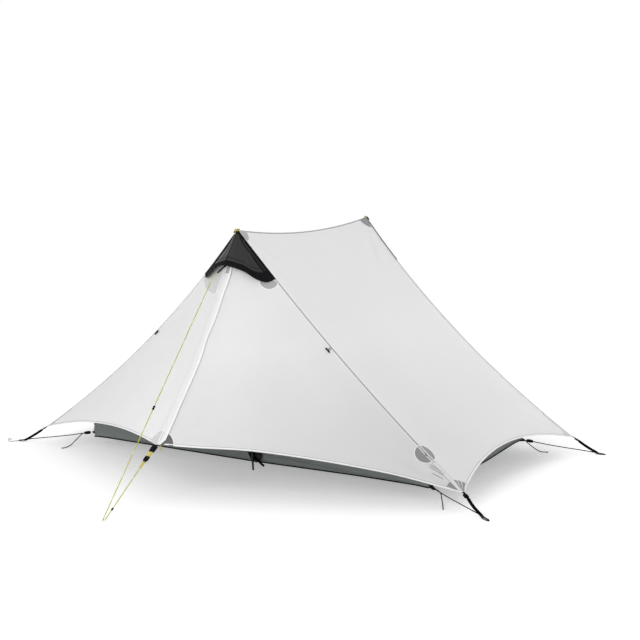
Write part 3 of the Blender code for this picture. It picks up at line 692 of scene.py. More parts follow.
def with_ends(stops):
    return [stops[0] * 2.0 - stops[1], *stops, stops[-1] * 2.0 - stops[-2]]


def spline_at(stops, t):
    """A point on the smooth curve through the stops, at a share of its stops."""
    place = min(t, 0.99999) * (len(stops) - 1)
    step = int(place)
    return curve_point(*with_ends(stops)[step:step + 4], place - step)


def smooth_route(stops, count):
    """Evenly spaced points on a smooth curve through the stops."""
    ends = with_ends(stops)
    fine = [curve_point(*ends[k:k + 4], i / 24.0) for k in range(len(stops) - 1) for i in range(24)]
    fine.append(stops[-1])
    way = [0.0]
    for p, q in zip(fine, fine[1:]):
        way.append(way[-1] + (q - p).length)
    route = []
    for i in range(count):
        goal = way[-1] * i / (count - 1)
        k = next(j for j in range(1, len(way)) if way[j] >= goal - 1e-9)
        share = (goal - way[k - 1]) / max(way[k] - way[k - 1], 1e-12)
        route.append(fine[k - 1].lerp(fine[k], share))
    return route


# Cloth surfaces

def coons(left, right, top, bottom):
    """The surface between four edges. u runs to the right and v runs down."""

    def at(u, v):
        across = left(v).lerp(right(v), u)
        down = top(u).lerp(bottom(u), v)
        square = top(0.0).lerp(top(1.0), u).lerp(bottom(0.0).lerp(bottom(1.0), u), v)
        return across + down - square

    return at


def flat_axes(normal):
    """Two axes in a panel's plane: level, and up the slope."""
    side = UP.cross(normal).normalized()
    return side, normal.cross(side)


def pull_folds(point, normal, pulls):
    """How far cloth stands proud at a point, in folds that fan out from what pulls it."""
    side, rise = flat_axes(normal)
    proud = 0.0010 * noise.noise(point * 4.0)
    for anchor, depth, reach, folds in pulls:
        away = point - anchor
        far = away.length
        angle = math.atan2(away.dot(rise), away.dot(side))
        wander = 1.6 * noise.noise(point * 3.0 + anchor)
        fade = min(far / 0.06, 1.0) * math.exp(-far / reach)
        proud += depth * fade * math.sin(folds * angle + wander)
    return proud


def tensioned(surface, normal, pulls):
    """The surface with its folds, which die out at the sewn edges."""

    def at(u, v):
        point = surface(u, v)
        edge = max(min(u, 1.0 - u, v), 0.0) * 9.0
        return point + normal * (pull_folds(point, normal, pulls) * min(edge, 1.0))

    return at


LEFT_NORMAL = mirrored(SIDE_NORMAL, -1)
RIDGE = drawn(APEX, FAR_APEX, RIDGE_SAG)
FAR_CORNER = Vector((CORNER_ALONG, CORNER_ACROSS, CORNER_HEIGHT))
FAR_HIP = drawn(FAR_APEX, FAR_CORNER, Vector((HIP_SAG.x, -HIP_SAG.y, HIP_SAG.z)))
END_PANEL = tensioned(
    coons(hip(1), FAR_HIP, RIDGE, drawn(corner(1), FAR_CORNER, END_HEM_SAG)),
    END_NORMAL,
    ((APEX, 0.0022, 0.30, 15), (FAR_APEX, 0.0022, 0.30, 15),
     (corner(1), 0.0016, 0.25, 15), (FAR_CORNER, 0.0016, 0.25, 15)),
)
FIXED_PANEL = tensioned(
    coons(hip(-1), SEAM, point_edge(APEX), drawn(corner(-1), HEM_POINT, FIXED_HEM_SAG)),
    LEFT_NORMAL,
    ((APEX, 0.0020, 0.25, 13), (corner(-1), 0.0030, 0.25, 19), (HEM_POINT, 0.0110, 0.11, 21)),
)
PLAIN_DOOR_HEM = drawn(door_edge(1.0), corner(1), DOOR_HEM_SAG)


def door_hem(t):
    """The door's hem, pulled up a little more over its middle than by its corners."""
    return PLAIN_DOOR_HEM(t) + UP * DOOR_HEM_LIFT * eased((t - 0.10) / 0.24) * eased((1.03 - t) / 0.30)


RIGHT_PANEL = tensioned(
    coons(door_edge, hip(1), point_edge(APEX), door_hem),
    SIDE_NORMAL,
    ((APEX, 0.0020, 0.25, 13), (corner(1), 0.0042, 0.32, 21), (door_edge(1.0), 0.0028, 0.22, 15)),
)


def left_end_panel(u, v):
    """The left end panel beside the near half: the right one, turned."""
    return HALF_TURN @ END_PANEL(u, v)


# Pieces

def new_object(name, bm):
    mesh = bpy.data.meshes.new(name)
    bm.to_mesh(mesh)
    bm.free()
    obj = bpy.data.objects.new(name, mesh)
    scene.collection.objects.link(obj)
    return obj


def finish_piece(name, bm, skin, half="near", body=ROOT, slot=None, replaces=(), thick=0.0,
                 offset=0.0, bevel=0.0, sharp=False):
    """Turns a bmesh made for the near half into a finished piece on its body."""
    bmesh.ops.transform(bm, matrix=TURNS[half], verts=bm.verts)
    for edge in bm.edges:
        edge.smooth = not edge.is_boundary
    obj = new_object(name, bm)
    obj.data.materials.append(skin)
    if thick > 0.0:
        solid = obj.modifiers.new("cloth", "SOLIDIFY")
        solid.thickness = thick
        solid.offset = offset
    if bevel > 0.0:
        soft = obj.modifiers.new("edges", "BEVEL")
        soft.width = bevel
        soft.segments = 2
        soft.limit_method = "ANGLE"
    smooth_round(obj)
    if sharp:
        obj.data.set_sharp_from_angle(angle=math.radians(35.0))
    if body is not None:
        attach(obj, body)
    if replaces:
        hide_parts(*replaces)
    return obj


def smooth_round(obj):
    for face in obj.data.polygons:
        face.use_smooth = True


def fly_piece(name, bm, skin, half="near", thick=0.0008, **more):
    return finish_piece(name, bm, skin, half, slot="fly_silnylon", thick=thick, **more)


def mould(name, bm, half="near", sharp=True, **more):
    """A moulded black plastic piece."""
    return finish_piece(name, bm, PLASTIC, half, slot="black_plastic", sharp=sharp, **more)


def map_loops(bm, flat):
    """A map in metres, with each corner where flat puts it."""
    uv = bm.loops.layers.uv.verify()
    for face in bm.faces:
        for loop in face.loops:
            loop[uv].uv = flat(loop.vert.co)


def map_flat(bm, normal):
    """A flat map in the plane that the cloth was cut in."""
    side, rise = flat_axes(normal)
    map_loops(bm, lambda spot: (spot.dot(side), spot.dot(rise)))


def unit_grid(across, down):
    bm = bmesh.new()
    bmesh.ops.create_grid(bm, x_segments=across, y_segments=down, size=0.5)
    return bm


def face_out(bm, normal, weigh=lambda face: 1.0):
    """Turns the faces over if most of them look away from a normal."""
    bm.normal_update()
    if sum(face.normal.dot(normal) * weigh(face) for face in bm.faces) < 0.0:
        bmesh.ops.reverse_faces(bm, faces=bm.faces)
    map_flat(bm, normal)


def cloth_grid(surface, across, down, normal, low=0.0):
    """A grid of cloth over a surface, from v low to 1."""
    bm = unit_grid(across, down)
    for vert in bm.verts:
        v = low + (1.0 - low) * (0.5 - vert.co.y)
        vert.co = surface(vert.co.x + 0.5, v)
    face_out(bm, normal, lambda face: face.calc_area())
    return bm


def strip(columns, steps, start=0.0, end=1.0):
    """A band whose lengthwise lines are the columns, with a map across and along it."""
    across = len(columns) - 1
    bm = unit_grid(across, steps)
    middle = columns[across // 2]
    length = (middle(end) - middle(start)).length
    width = (columns[-1](0.5) - columns[0](0.5)).length
    map_loops(bm, lambda spot: (spot.x * width, (0.5 - spot.y) * length))
    for vert in bm.verts:
        column = columns[round((vert.co.x + 0.5) * across)]
        vert.co = column(start + (end - start) * (0.5 - vert.co.y))
    return bm


def ribbon(path, side, spots, steps, start=0.0, end=1.0):
    """A band along a path, with a lengthwise line at each spot to its side."""
    return strip([lambda t, s=s: path(t) + side * s for s in spots], steps, start, end)


def lay_webbing(name, half, path, side, reach, steps, thick, skin=BLACK_WEBBING, slot="black_webbing"):
    """Webbing along a path, with the same reach to each side."""
    band = ribbon(path, side, (-reach, 0.0, reach), steps)
    finish_piece(name, band, skin, half, slot=slot, thick=thick)


def declare_cloth(obj):
    """Finds the smallest rectangle round a sewn panel's flat map."""
    layer = obj.data.uv_layers[0].data
    spots = np.empty(len(layer) * 2)
    layer.foreach_get("uv", spots)
    spots = spots.reshape(-1, 2)
    rectangles = []
    for angle in np.linspace(0.0, math.pi / 2.0, 30):
        turned = spots @ np.array(((math.cos(angle), -math.sin(angle)), (math.sin(angle), math.cos(angle))))
        wide, tall = np.ptp(turned, axis=0)
        rectangles.append((float(wide * tall), float(min(wide, tall)), float(max(wide, tall))))
    whole, wide, tall = min(rectangles)


# The fly

def stitch_row(name, half, line, body=ROOT, radius=THREAD_RADIUS):
    """A row of thread along a seam."""
    route = [line(i / THREAD_STEPS) for i in range(THREAD_STEPS + 1)]
    return tube(name, half, route, radius, STITCH, "fly_silnylon", body, sides=4)


def bind_hem(stem, half, panel, normal, drop, steps, body=ROOT, word=""):
    """The binding along a panel's foot and the thread that holds it."""
    lines = [lambda t, v=v: panel(t, v) + normal * LAYER for v in (1.0 - drop, 1.0 - drop / 2, 1.0)]
    band = fly_piece(f"{stem}{word}", strip(lines, steps), HEM, half, HEM_THICK, body=body)
    top = lambda t: panel(t, 1.0 - drop) + normal * 2.0 * LAYER
    return band, stitch_row(f"{stem}_stitch{word}", half, top, body)


def sew_end_panel(half):
    right = WORDS[half][0]
    panel = fly_piece(f"fly_end_cloth_{right}", cloth_grid(END_PANEL, 84, 84, END_NORMAL), SHADED_END_FLY, half,
                      CLOTH, replaces=(f"fly_end_{right}",))
    bind_hem("fly_end_hem", half, END_PANEL, END_NORMAL, END_HEM_DROP, 84, word=f"_{right}")
    declare_cloth(panel)


def fixed_column(reach):
    """A line down the fixed panel at a distance from the vestibule seam."""
    def at(t):
        wide = (FIXED_PANEL(0.0, t) - FIXED_PANEL(1.0, t)).length + 1e-4
        return FIXED_PANEL(1.0 - min(reach / wide, 0.5), t) + LEFT_NORMAL * 1.5 * LAYER
    return at


def over_flap(share, lift=1.5 * LAYER):
    """A line down the storm flap, from its seam at 0 to its free edge at 1."""
    out = LEFT_NORMAL.lerp(SIDE_NORMAL, min(max(share, 0.0), 1.0)).normalized()
    return lambda t: SEAM(t).lerp(flap_edge(t), share) + out * lift


def sew_fixed_panel(half):
    panel = fly_piece(f"{half}_fixed_cloth", cloth_grid(FIXED_PANEL, 64, 76, LEFT_NORMAL, low=0.008), FLY,
                      half, CLOTH, replaces=(f"{half}_fixed_panel",))
    columns = [fixed_column(0.040), fixed_column(0.020), *(over_flap(k) for k in (0.0, 0.3, 0.65, 1.0))]
    fly_piece(f"{half}_storm_flap", strip(columns, 80, 0.03, 0.999), FLAP, half, 0.0010)
    # Painted highlight: the storm flap's hemmed free edge is drawn as a strip of the whiter hem cloth.
    edge = strip([over_flap(k, 0.0026) for k in (0.70, 0.88, 1.05)], 80, 0.05, 0.999)
    fly_piece(f"{half}_flap_edge", edge, HEM, half, HEM_THICK)
    hold = over_flap(0.30, 0.0020)
    stitch_row(f"{half}_flap_stitch", half, lambda t: hold(0.94 + 0.045 * t), radius=0.0006)
    bind_hem(f"{half}_fixed_hem", half, FIXED_PANEL, LEFT_NORMAL, HEM_DROP, 70)
    declare_cloth(panel)


def sew_right_panel(half):
    """The hip side and the door in one cloth."""
    panel = fly_piece(f"{half}_door_side_cloth", cloth_grid(RIGHT_PANEL, 96, 96, SIDE_NORMAL, low=0.02),
                      SHADED_DOOR_FLY, half, CLOTH, body=None, replaces=(f"{half}_hip_panel", f"{half}_door_panel"))
    for soft in (panel, *bind_hem(f"{half}_door_hem", half, RIGHT_PANEL, SIDE_NORMAL, HEM_DROP, 90, None)):
        bend_with_door(soft, half)
    declare_cloth(panel)


HINGE_TOP = door_edge(DOOR_TOP_SHARE)
DOOR_FALL = (corner(1) - HINGE_TOP).normalized().cross(SIDE_NORMAL).normalized()
DOOR_FALL *= math.copysign(1.0, DOOR_FALL.dot(HEM_POINT - HINGE_TOP))


def bend_with_door(obj, half):
    """Works out the door's fold line and bakes the piece's placement into its mesh."""
    start, end = (TURNS[half] @ (HINGE_TOP + DOOR_FALL * reach) for reach in (0.004, DOOR_FOLD))
    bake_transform(obj)
    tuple(start)
    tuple(end)


def hip_lines(hand):
    """Lines beside a hip, down the side panel and down the end panel, and the line over its crest."""
    side_panel, side_normal = (RIGHT_PANEL, SIDE_NORMAL) if hand > 0 else (FIXED_PANEL, LEFT_NORMAL)
    end_panel = END_PANEL if hand > 0 else left_end_panel
    end_normal = mirrored(END_NORMAL, hand)
    mid_normal = (side_normal + end_normal).normalized()
    wider_down = lambda t: 1.0 + SEAM_GROWTH * t * t

    def side_line(reach):
        def at(t):
            wide = (side_panel(0.0, t) - side_panel(1.0, t)).length + 1e-4
            k = min(reach * wider_down(t) / wide, 0.5)
            return side_panel(1.0 - k if hand > 0 else k, t) + side_normal * TAPE_LIFT
        return at

    def end_line(reach):
        def at(t):
            k = reach * wider_down(t) / END_PANEL_LENGTH
            return end_panel(k if hand > 0 else 1.0 - k, t) + end_normal * TAPE_LIFT
        return at

    return side_line, end_line, lambda t: hip(hand)(t) + mid_normal * CREST_LIFT


def tape_hips(half):
    """The bound seam over each hip, half on the end panel and half on the side panel."""
    reach = SEAM_REACH
    for hand, word in zip((1, -1), WORDS[half]):
        side_line, end_line, crest = hip_lines(hand)
        stem = f"{half}_{word}_hip"
        tape = [side_line(reach), side_line(reach / 2), crest, end_line(reach / 2), end_line(reach)]
        fly_piece(f"{stem}_tape", strip(tape, 90, 0.02, TAPE_END), SEAM_TAPE, half)
        wide = [side_line(reach * 2.0), side_line(reach), crest, end_line(reach), end_line(reach * 2.0)]
        fly_piece(f"{stem}_facing", strip(wide, 24, TAPE_END, 0.995), FACING, half, 0.0010)
        for side, line in (("side", side_line), ("end", end_line)):
            edge = strip([line(reach * 1.75), line(reach)], 90, 0.03, TAPE_END)
            fly_piece(f"{stem}_{side}_edge", edge, HEM, half)
            stitch_row(f"{stem}_{side}_stitch", half,
                       lambda t, f=line(reach * 2.1): f(TAPE_END + (0.99 - TAPE_END) * t))


def tape_ridge():
    reach = 0.005 / 1.6
    lines = [lambda t: left_end_panel(1.0 - t, reach), lambda t: RIDGE(t) + UP * CREST_LIFT,
             lambda t: END_PANEL(t, reach)]
    fly_piece("ridge_tape", strip(lines, 60), SEAM_TAPE, thick=0.0009)


# Patches sewn over the fly's loaded corners

def surface_tree(surface, normal, low=0.0):
    bm = cloth_grid(surface, 64, 64, normal, low)
    tree = BVHTree.FromBMesh(bm)
    bm.free()
    return tree, normal


PANEL_TREES = {
    "end": surface_tree(END_PANEL, END_NORMAL),
    "left_end": surface_tree(left_end_panel, mirrored(END_NORMAL, -1)),
    "right": surface_tree(RIGHT_PANEL, SIDE_NORMAL, 0.002),
    "fixed": surface_tree(FIXED_PANEL, LEFT_NORMAL, 0.002),
}


def laid_on(panel, point, lift):
    """The point dropped onto a panel along its normal, and lifted off the cloth."""
    tree, normal = PANEL_TREES[panel]
    hit = tree.ray_cast(point + normal * 0.2, -normal, 0.5)[0]
    if hit is None:
        hit = tree.find_nearest(point)[0]
    return hit + normal * lift


def in_plane(way, normal):
    return (way - normal * way.dot(normal)).normalized()


def fan(panel, middle, toward, swing, radius, lift, inner=0.004, rings=10, sectors=20, peak=0.0):
    """A sector of cloth laid on a panel: round a middle, from one direction through a swing."""
    normal = PANEL_TREES[panel][1]
    first = in_plane(toward, normal)
    bm = unit_grid(sectors, rings)
    for vert in bm.verts:
        turn = Matrix.Rotation(swing * (vert.co.x + 0.5), 3, normal)
        reach = inner + (radius - inner) * (vert.co.y + 0.5)
        raised = peak * max(1.0 - reach / (0.7 * radius), 0.0) ** 2
        vert.co = laid_on(panel, middle + (turn @ first) * reach, lift) + UP * raised
    face_out(bm, normal)
    return bm


def sew_patch(name, half, skin, panel, middle, first, second, radius, ribs=0, rib_wide=0.04, ring=0.0,
              lift=PATCH_LIFT, peak=0.0):
    """A patch between two directions, with stitched ribs fanning out over it or a pale ring round it."""
    normal = PANEL_TREES[panel][1]
    start, stop = in_plane(first, normal), in_plane(second, normal)
    swing = math.atan2(start.cross(stop).dot(normal), start.dot(stop))
    more = {"half": half, "body": None if panel == "right" else ROOT}
    made = [fly_piece(f"{half}_{name}", fan(panel, middle, first, swing, radius, lift, peak=peak), skin,
                      thick=0.0005, **more)]
    for i in range(ribs):
        share = (i + 1.0) / (ribs + 1.0)
        turn = Matrix.Rotation(swing * (share - rib_wide / 2.0), 3, normal) @ start
        rib = fan(panel, middle, turn, swing * rib_wide, radius * 0.96, lift + 0.0008, rings=8, sectors=1)
        made.append(fly_piece(f"{half}_{name}_rib_{i + 1}", rib, STITCH, thick=0.0005, **more))
    if ring > 0.0:
        band = fan(panel, middle, start, swing, radius + ring, lift + 0.0004, radius, rings=2, sectors=32)
        made.append(fly_piece(f"{half}_{name}_ring", band, HEM, **more))
    if panel == "right":
        for piece in made:
            bend_with_door(piece, half)


HOOD_PATCH_MIDDLE = Vector((0.208, -0.673, 1.0265))
PLEAT_STITCHES = (
    (Vector((1.135, -0.698, 0.212)), Vector((1.203, -0.683, 0.179))),
    (Vector((1.137, -0.703, 0.201)), Vector((1.205, -0.688, 0.167))),
    (Vector((1.155, -0.712, 0.174)), Vector((1.204, -0.699, 0.150))),
)


def sew_patches(half):
    right, left = WORDS[half]
    hip_up, left_hip_up = (hip(hand)(0.9) - hip(hand)(1.0) for hand in (1, -1))
    hip_down, left_hip_down = (hip(hand)(0.1) - hip(hand)(0.0) for hand in (1, -1))
    end_hem_way = END_PANEL(0.1, 1.0) - END_PANEL(0.0, 1.0)
    left_end_hem_way = left_end_panel(0.9, 1.0) - left_end_panel(1.0, 1.0)
    door_hem_way = RIGHT_PANEL(0.9, 1.0) - RIGHT_PANEL(1.0, 1.0)
    fixed_hem_way = FIXED_PANEL(0.1, 1.0) - FIXED_PANEL(0.0, 1.0)
    ridge_way = RIDGE(0.1) - RIDGE(0.0)
    disc, disc_down = hip(1)(0.849), hip(1)(0.9) - hip(1)(0.83)
    sag = Vector((0.0, 0.0, -0.1))
    door_foot = door_edge(1.0)
    sew_patch(f"{right}_corner_patch_end", half, LIGHT_PATCH, "end", corner(1), end_hem_way, hip_up, 0.088,
              ribs=3, rib_wide=0.15)
    sew_patch(f"{right}_corner_patch_side", half, DISC_PATCH, "right", corner(1), hip_up, door_hem_way, 0.085)
    sew_patch(f"{left}_corner_patch_end", half, LIGHT_PATCH, "left_end", corner(-1), left_end_hem_way,
              left_hip_up, 0.075)
    sew_patch(f"{left}_corner_patch_side", half, LIGHT_PATCH, "fixed", corner(-1), left_hip_up,
              fixed_hem_way, 0.080)
    sew_patch(f"{right}_hip_disc_end", half, DISC_PATCH, "end", disc, disc_down, -disc_down, 0.050,
              ring=0.004)
    sew_patch(f"{right}_hip_disc_side", half, DISC_PATCH, "right", disc, -disc_down, disc_down, 0.050,
              ring=0.004)
    sew_patch(f"{right}_disc_tab", half, FOOT_PATCH, "right", disc + hip_up * 0.06, -hip_up,
              -hip_up + door_hem_way * 0.5, 0.024, lift=0.0022)
    sew_patch(f"{right}_hood_patch", half, PATCH, "right", HOOD_PATCH_MIDDLE, sag - DOOR_SIDE,
              sag + DOOR_SIDE, 0.046, ring=0.004)
    sew_patch(f"{left}_hood_patch", half, LIGHT_PATCH, "fixed", APEX, hip(-1)(0.1) - APEX,
              SEAM(0.1) - APEX, 0.338)
    flap_top = [lambda t, k=k: over_flap(k, 0.0024)(0.14 + 0.058 * t) for k in (0.15, 0.45, 0.75, 0.97)]
    fly_piece(f"{half}_flap_top_patch", strip(flap_top, 8), PATCH, half)
    sew_patch(f"apex_patch_{right}", half, PATCH, "end", APEX, hip_down, ridge_way, 0.072, peak=0.008)
    sew_patch(f"apex_patch_{left}", half, STITCH, "left_end", APEX, ridge_way, left_hip_down, 0.072,
              peak=0.008)
    sew_patch("hem_point_patch", half, LIGHT_PATCH, "fixed", HEM_POINT, FIXED_PANEL(0.9, 1.0) - HEM_POINT,
              SEAM(0.9) - HEM_POINT, 0.078, lift=0.0024)
    sew_patch("door_foot_patch", half, FOOT_PATCH, "right", door_foot, door_edge(0.9) - door_foot,
              RIGHT_PANEL(0.1, 1.0) - door_foot, 0.074, ring=0.004, lift=0.0016)
    for i, (high, low) in enumerate(PLEAT_STITCHES):
        route = [laid_on("right", high.lerp(low, k / 8.0), 0.0012) for k in range(9)]
        bend_with_door(tube(f"{half}_pleat_stitch_{i + 1}", half, route, 0.0011, FOOT_PATCH, "fly_silnylon",
                            None, sides=4), half)


# The vent hood

BRIM_RIGHT = [hip(1)(HOOD_SHARE) + HOOD_LIFT, BRIM_DIP, BRIM_RISE, BRIM_SHOULDER]
BRIM_LEFT = [mirrored(stop, -1) for stop in BRIM_RIGHT]
BRIM_POINTS = smooth_route([*BRIM_LEFT, BRIM_TOP, *reversed(BRIM_RIGHT)], BRIM_STEPS + 1)


def hood_brim(t):
    step = min(int(t * BRIM_STEPS), BRIM_STEPS - 1)
    return BRIM_POINTS[step].lerp(BRIM_POINTS[step + 1], t * BRIM_STEPS - step)


def hood_edge(hand):
    return lambda t: hip(hand)(t * HOOD_SHARE) + HOOD_LIFT


HOOD_SURFACE = coons(hood_edge(-1), hood_edge(1), point_edge(APEX + HOOD_LIFT), hood_brim)
HOOD_NORMAL = Vector((0.0, -0.83, 0.56)).normalized()


def hood_cloth(u, v, lift=0.0):
    """The hood, with a crease under the guy line and soft hollows beside it."""
    point = HOOD_SURFACE(u, v)
    crease = math.exp(-((u - 0.5) / 0.035) ** 2) * HOOD_CREASE
    hollow = -HOOD_HOLLOW * math.sin(math.pi * v) * (math.sin(2.0 * math.pi * (u - 0.5)) ** 2)
    folds = HOOD_FOLD * math.sin(34.0 * u + 3.0 * v) * v * (1.0 - v) * 4.0
    fade = min(v * 4.0, 1.0) * min(u, 1.0 - u, 0.12) / 0.12
    return point + HOOD_NORMAL * ((crease + hollow + folds) * fade) + HOOD_NORMAL * lift


def beside_hood_edge(reach, hand, lift):
    def at(t):
        wide = (hood_cloth(0.0, t) - hood_cloth(1.0, t)).length + 1e-4
        k = max(min(reach / wide, 0.40), -0.012)
        return hood_cloth(k if hand < 0 else 1.0 - k, t, lift)
    return at


def over_brim(share):
    """A line along the brim's band, which is broader towards the right and narrower at the left."""
    def at(t):
        band = 0.12 + 0.07 * max(t - 0.35, 0.0) / 0.65 - 0.08 * max(0.25 - t, 0.0) / 0.25
        return hood_cloth(t, 1.0 - band * share, 0.0016)
    return at


def sew_hood(half):
    slot = "hood_fabric"
    hood = finish_piece(f"{half}_hood_cloth", cloth_grid(hood_cloth, 56, 40, HOOD_NORMAL, low=0.03), HOOD,
                        half, slot=slot, replaces=(f"{half}_vent_hood",), thick=0.0012)
    right, left = WORDS[half]
    for name, reaches, hand, lift, start, end, thick in (
        (f"{right}_hood_binding", (-0.001, 0.004, 0.010), 1, 0.0012, 0.03, 1.0, 0.0015),
        (f"{left}_hood_binding", (-0.001, 0.007, 0.015), -1, 0.0012, 0.03, 1.0, 0.0015),
        ("hood_double_binding", (0.014, 0.018, 0.022), 1, 0.0014, 0.16, 0.93, 0.0016),
    ):
        binding = strip([beside_hood_edge(k, hand, lift) for k in reaches], 30, start, end)
        finish_piece(f"{half}_{name}", binding, BINDING, half, slot=slot, thick=thick)
    band = strip([over_brim(k) for k in (1.0, 0.66, 0.33, -0.03)], 60)
    finish_piece(f"{half}_brim_band", band, BINDING, half, slot=slot, thick=0.0024)
    piping = [hood_cloth(i / 60.0, 0.80 - 0.06 * i / 60.0, 0.0014) for i in range(61)]
    tube(f"{half}_brim_stitch", half, piping, 0.0009, BINDING, slot, sides=5)
    crest = [hood_cloth(0.5, 0.05 + 0.9 * i / 30.0, 0.0012) for i in range(31)]
    tube(f"{half}_hood_crest", half, crest, 0.0012, BINDING, slot, sides=5)
    declare_cloth(hood)


# Tubes and cords

def tube(name, half, route, radius, skin, slot, body=ROOT, sides=8, closed=False):
    """A mesh tube with rounded ends, along a route made for the near half."""
    curve = cord_curve(name + "_line", [TURNS[half] @ stop for stop in route], radius, closed, sides)
    graph = bpy.context.evaluated_depsgraph_get()
    mesh = bpy.data.meshes.new_from_object(curve.evaluated_get(graph))
    bpy.data.objects.remove(curve)
    bm = bmesh.new()
    bm.from_mesh(mesh)
    bmesh.ops.remove_doubles(bm, verts=bm.verts, dist=1e-6)
    bpy.data.meshes.remove(mesh)
    obj = new_object(name, bm)
    obj.data.materials.clear()
    obj.data.materials.append(skin)
    obj.data.shade_smooth()
    if body is not None:
        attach(obj, body)
    return obj


def cord_curve(name, route, radius, closed=False, sides=8):
    curve = bpy.data.curves.new(name, "CURVE")
    curve.dimensions = "3D"
    curve.bevel_depth = radius
    curve.bevel_resolution = max(sides // 2 - 2, 0)
    curve.use_fill_caps = not closed
    spline = curve.splines.new("POLY")
    spline.points.add(len(route) - 1)
    for point, place in zip(spline.points, route):
        point.co = (*place, 1.0)
    spline.use_cyclic_u = closed
    obj = bpy.data.objects.new(name, curve)
    scene.collection.objects.link(obj)
    return obj


def free_cord(name, node, route, radius, skin):
    """A cord that stands for its packed tube and ends in a knot."""
    obj = cord_curve(name, route, radius, sides=10)
    obj.data.materials.append(skin)
    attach(obj, ROOT)
    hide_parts(node)
    length = sum((q - p).length for p, q in zip(route, route[1:]))
    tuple(route[0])


def spun(profile, steps=24):
    """A turned shape about +Z from (radius, height) points down its outer side."""
    bm = bmesh.new()
    verts = [bm.verts.new((r, 0.0, z)) for r, z in profile]
    edges = [bm.edges.new(pair) for pair in zip(verts, verts[1:])]
    bmesh.ops.spin(bm, geom=verts + edges, cent=(0, 0, 0), axis=(0, 0, 1), angle=2.0 * math.pi,
                   steps=steps, use_merge=True)
    bmesh.ops.remove_doubles(bm, verts=bm.verts, dist=1e-6)
    bmesh.ops.recalc_face_normals(bm, faces=bm.faces)
    return bm


def set_down(bm, place, *ways):
    """Turns local X, Y and Z to three ways and moves the shape to its place."""
    turn = Matrix(ways).transposed().to_4x4()
    bmesh.ops.transform(bm, matrix=Matrix.Translation(place) @ turn, verts=bm.verts)
    return bm


def aim(bm, place, ahead, side=None):
    """Turns local Z ahead (and local X to a side) and moves the shape to its place."""
    z = ahead.normalized()
    x = side if side is not None else (LENGTHWISE if abs(z.x) < 0.9 else Vector((0, 1, 0)))
    x = in_plane(x, z)
    return set_down(bm, place, x, z.cross(x), z)


def soften(bm, width):
    """Eases every edge."""
    bmesh.ops.bevel(bm, geom=bm.edges[:], offset=width, segments=2, affect="EDGES", profile=0.5, material=-1)
    return bm


def blocks(sizes, width):
    """Blocks with eased edges, each with a middle and a size."""
    bm = bmesh.new()
    for middle, size in sizes:
        cube = bmesh.ops.create_cube(bm, size=1.0)["verts"]
        bmesh.ops.scale(bm, vec=size, verts=cube)
        bmesh.ops.translate(bm, vec=middle, verts=cube)
    return soften(bm, width)


def knot(name, place, size, skin, slot):
    """Three wraps of cord pulled tight round each other."""
    bm = bmesh.new()
    for i in range(3):
        ring = bmesh.ops.create_cone(bm, cap_ends=True, segments=12, radius1=size * 0.8, radius2=size * 0.8,
                                     depth=size * 0.7)["verts"]
        tilt = Matrix.Rotation(0.5 * (i - 1), 4, "X") @ Matrix.Translation((0, 0, size * 0.62 * (i - 1)))
        bmesh.ops.transform(bm, matrix=tilt, verts=ring)
    bmesh.ops.translate(soften(bm, size * 0.22), vec=place, verts=bm.verts)
    return finish_piece(name, bm, skin, slot=slot)


GUY_START = APEX + Vector((0.0, -0.027, 0.0045))
GUY_END = VESTIBULE_PEG + Vector((0.0, 0.004, GUY_RADIUS + 0.0005))
UNDER_APEX = APEX + Vector((0.0, -0.012, -0.012))
UNDER_BRIM = BRIM_TOP + Vector((0.0, 0.010, -0.001))
GUY_CLEAR = GUY_START.lerp(GUY_END, GUY_CLEAR_SHARE)
CHAIN_WAY = (VESTIBULE_PEG - HEM_POINT).normalized()
CORD_START = HEM_POINT + CHAIN_WAY * 0.108
CORD_END = VESTIBULE_PEG + Vector((0.0, 0.022, GUY_RADIUS + 0.0005))
RIDER_BORE = 0.0017


def cord_rider(half, name, node, start, end, share, radius, length, body):
    """A small ribbed slider on a straight cord."""
    waist, tall = radius * 0.72, length / 2.0
    side = [(RIDER_BORE, tall), (radius * 0.8, tall), (radius, tall * 0.82), (radius, tall * 0.45),
            (waist, tall * 0.25)]
    profile = [*side, *((r, -z) for r, z in reversed(side)), side[0]]
    bm = aim(spun(profile, 20), start.lerp(end, share), start - end)
    return mould(f"{half}_{name}", bm, half, body=f"{half}_{body}", replaces=(f"{half}_{node}",))


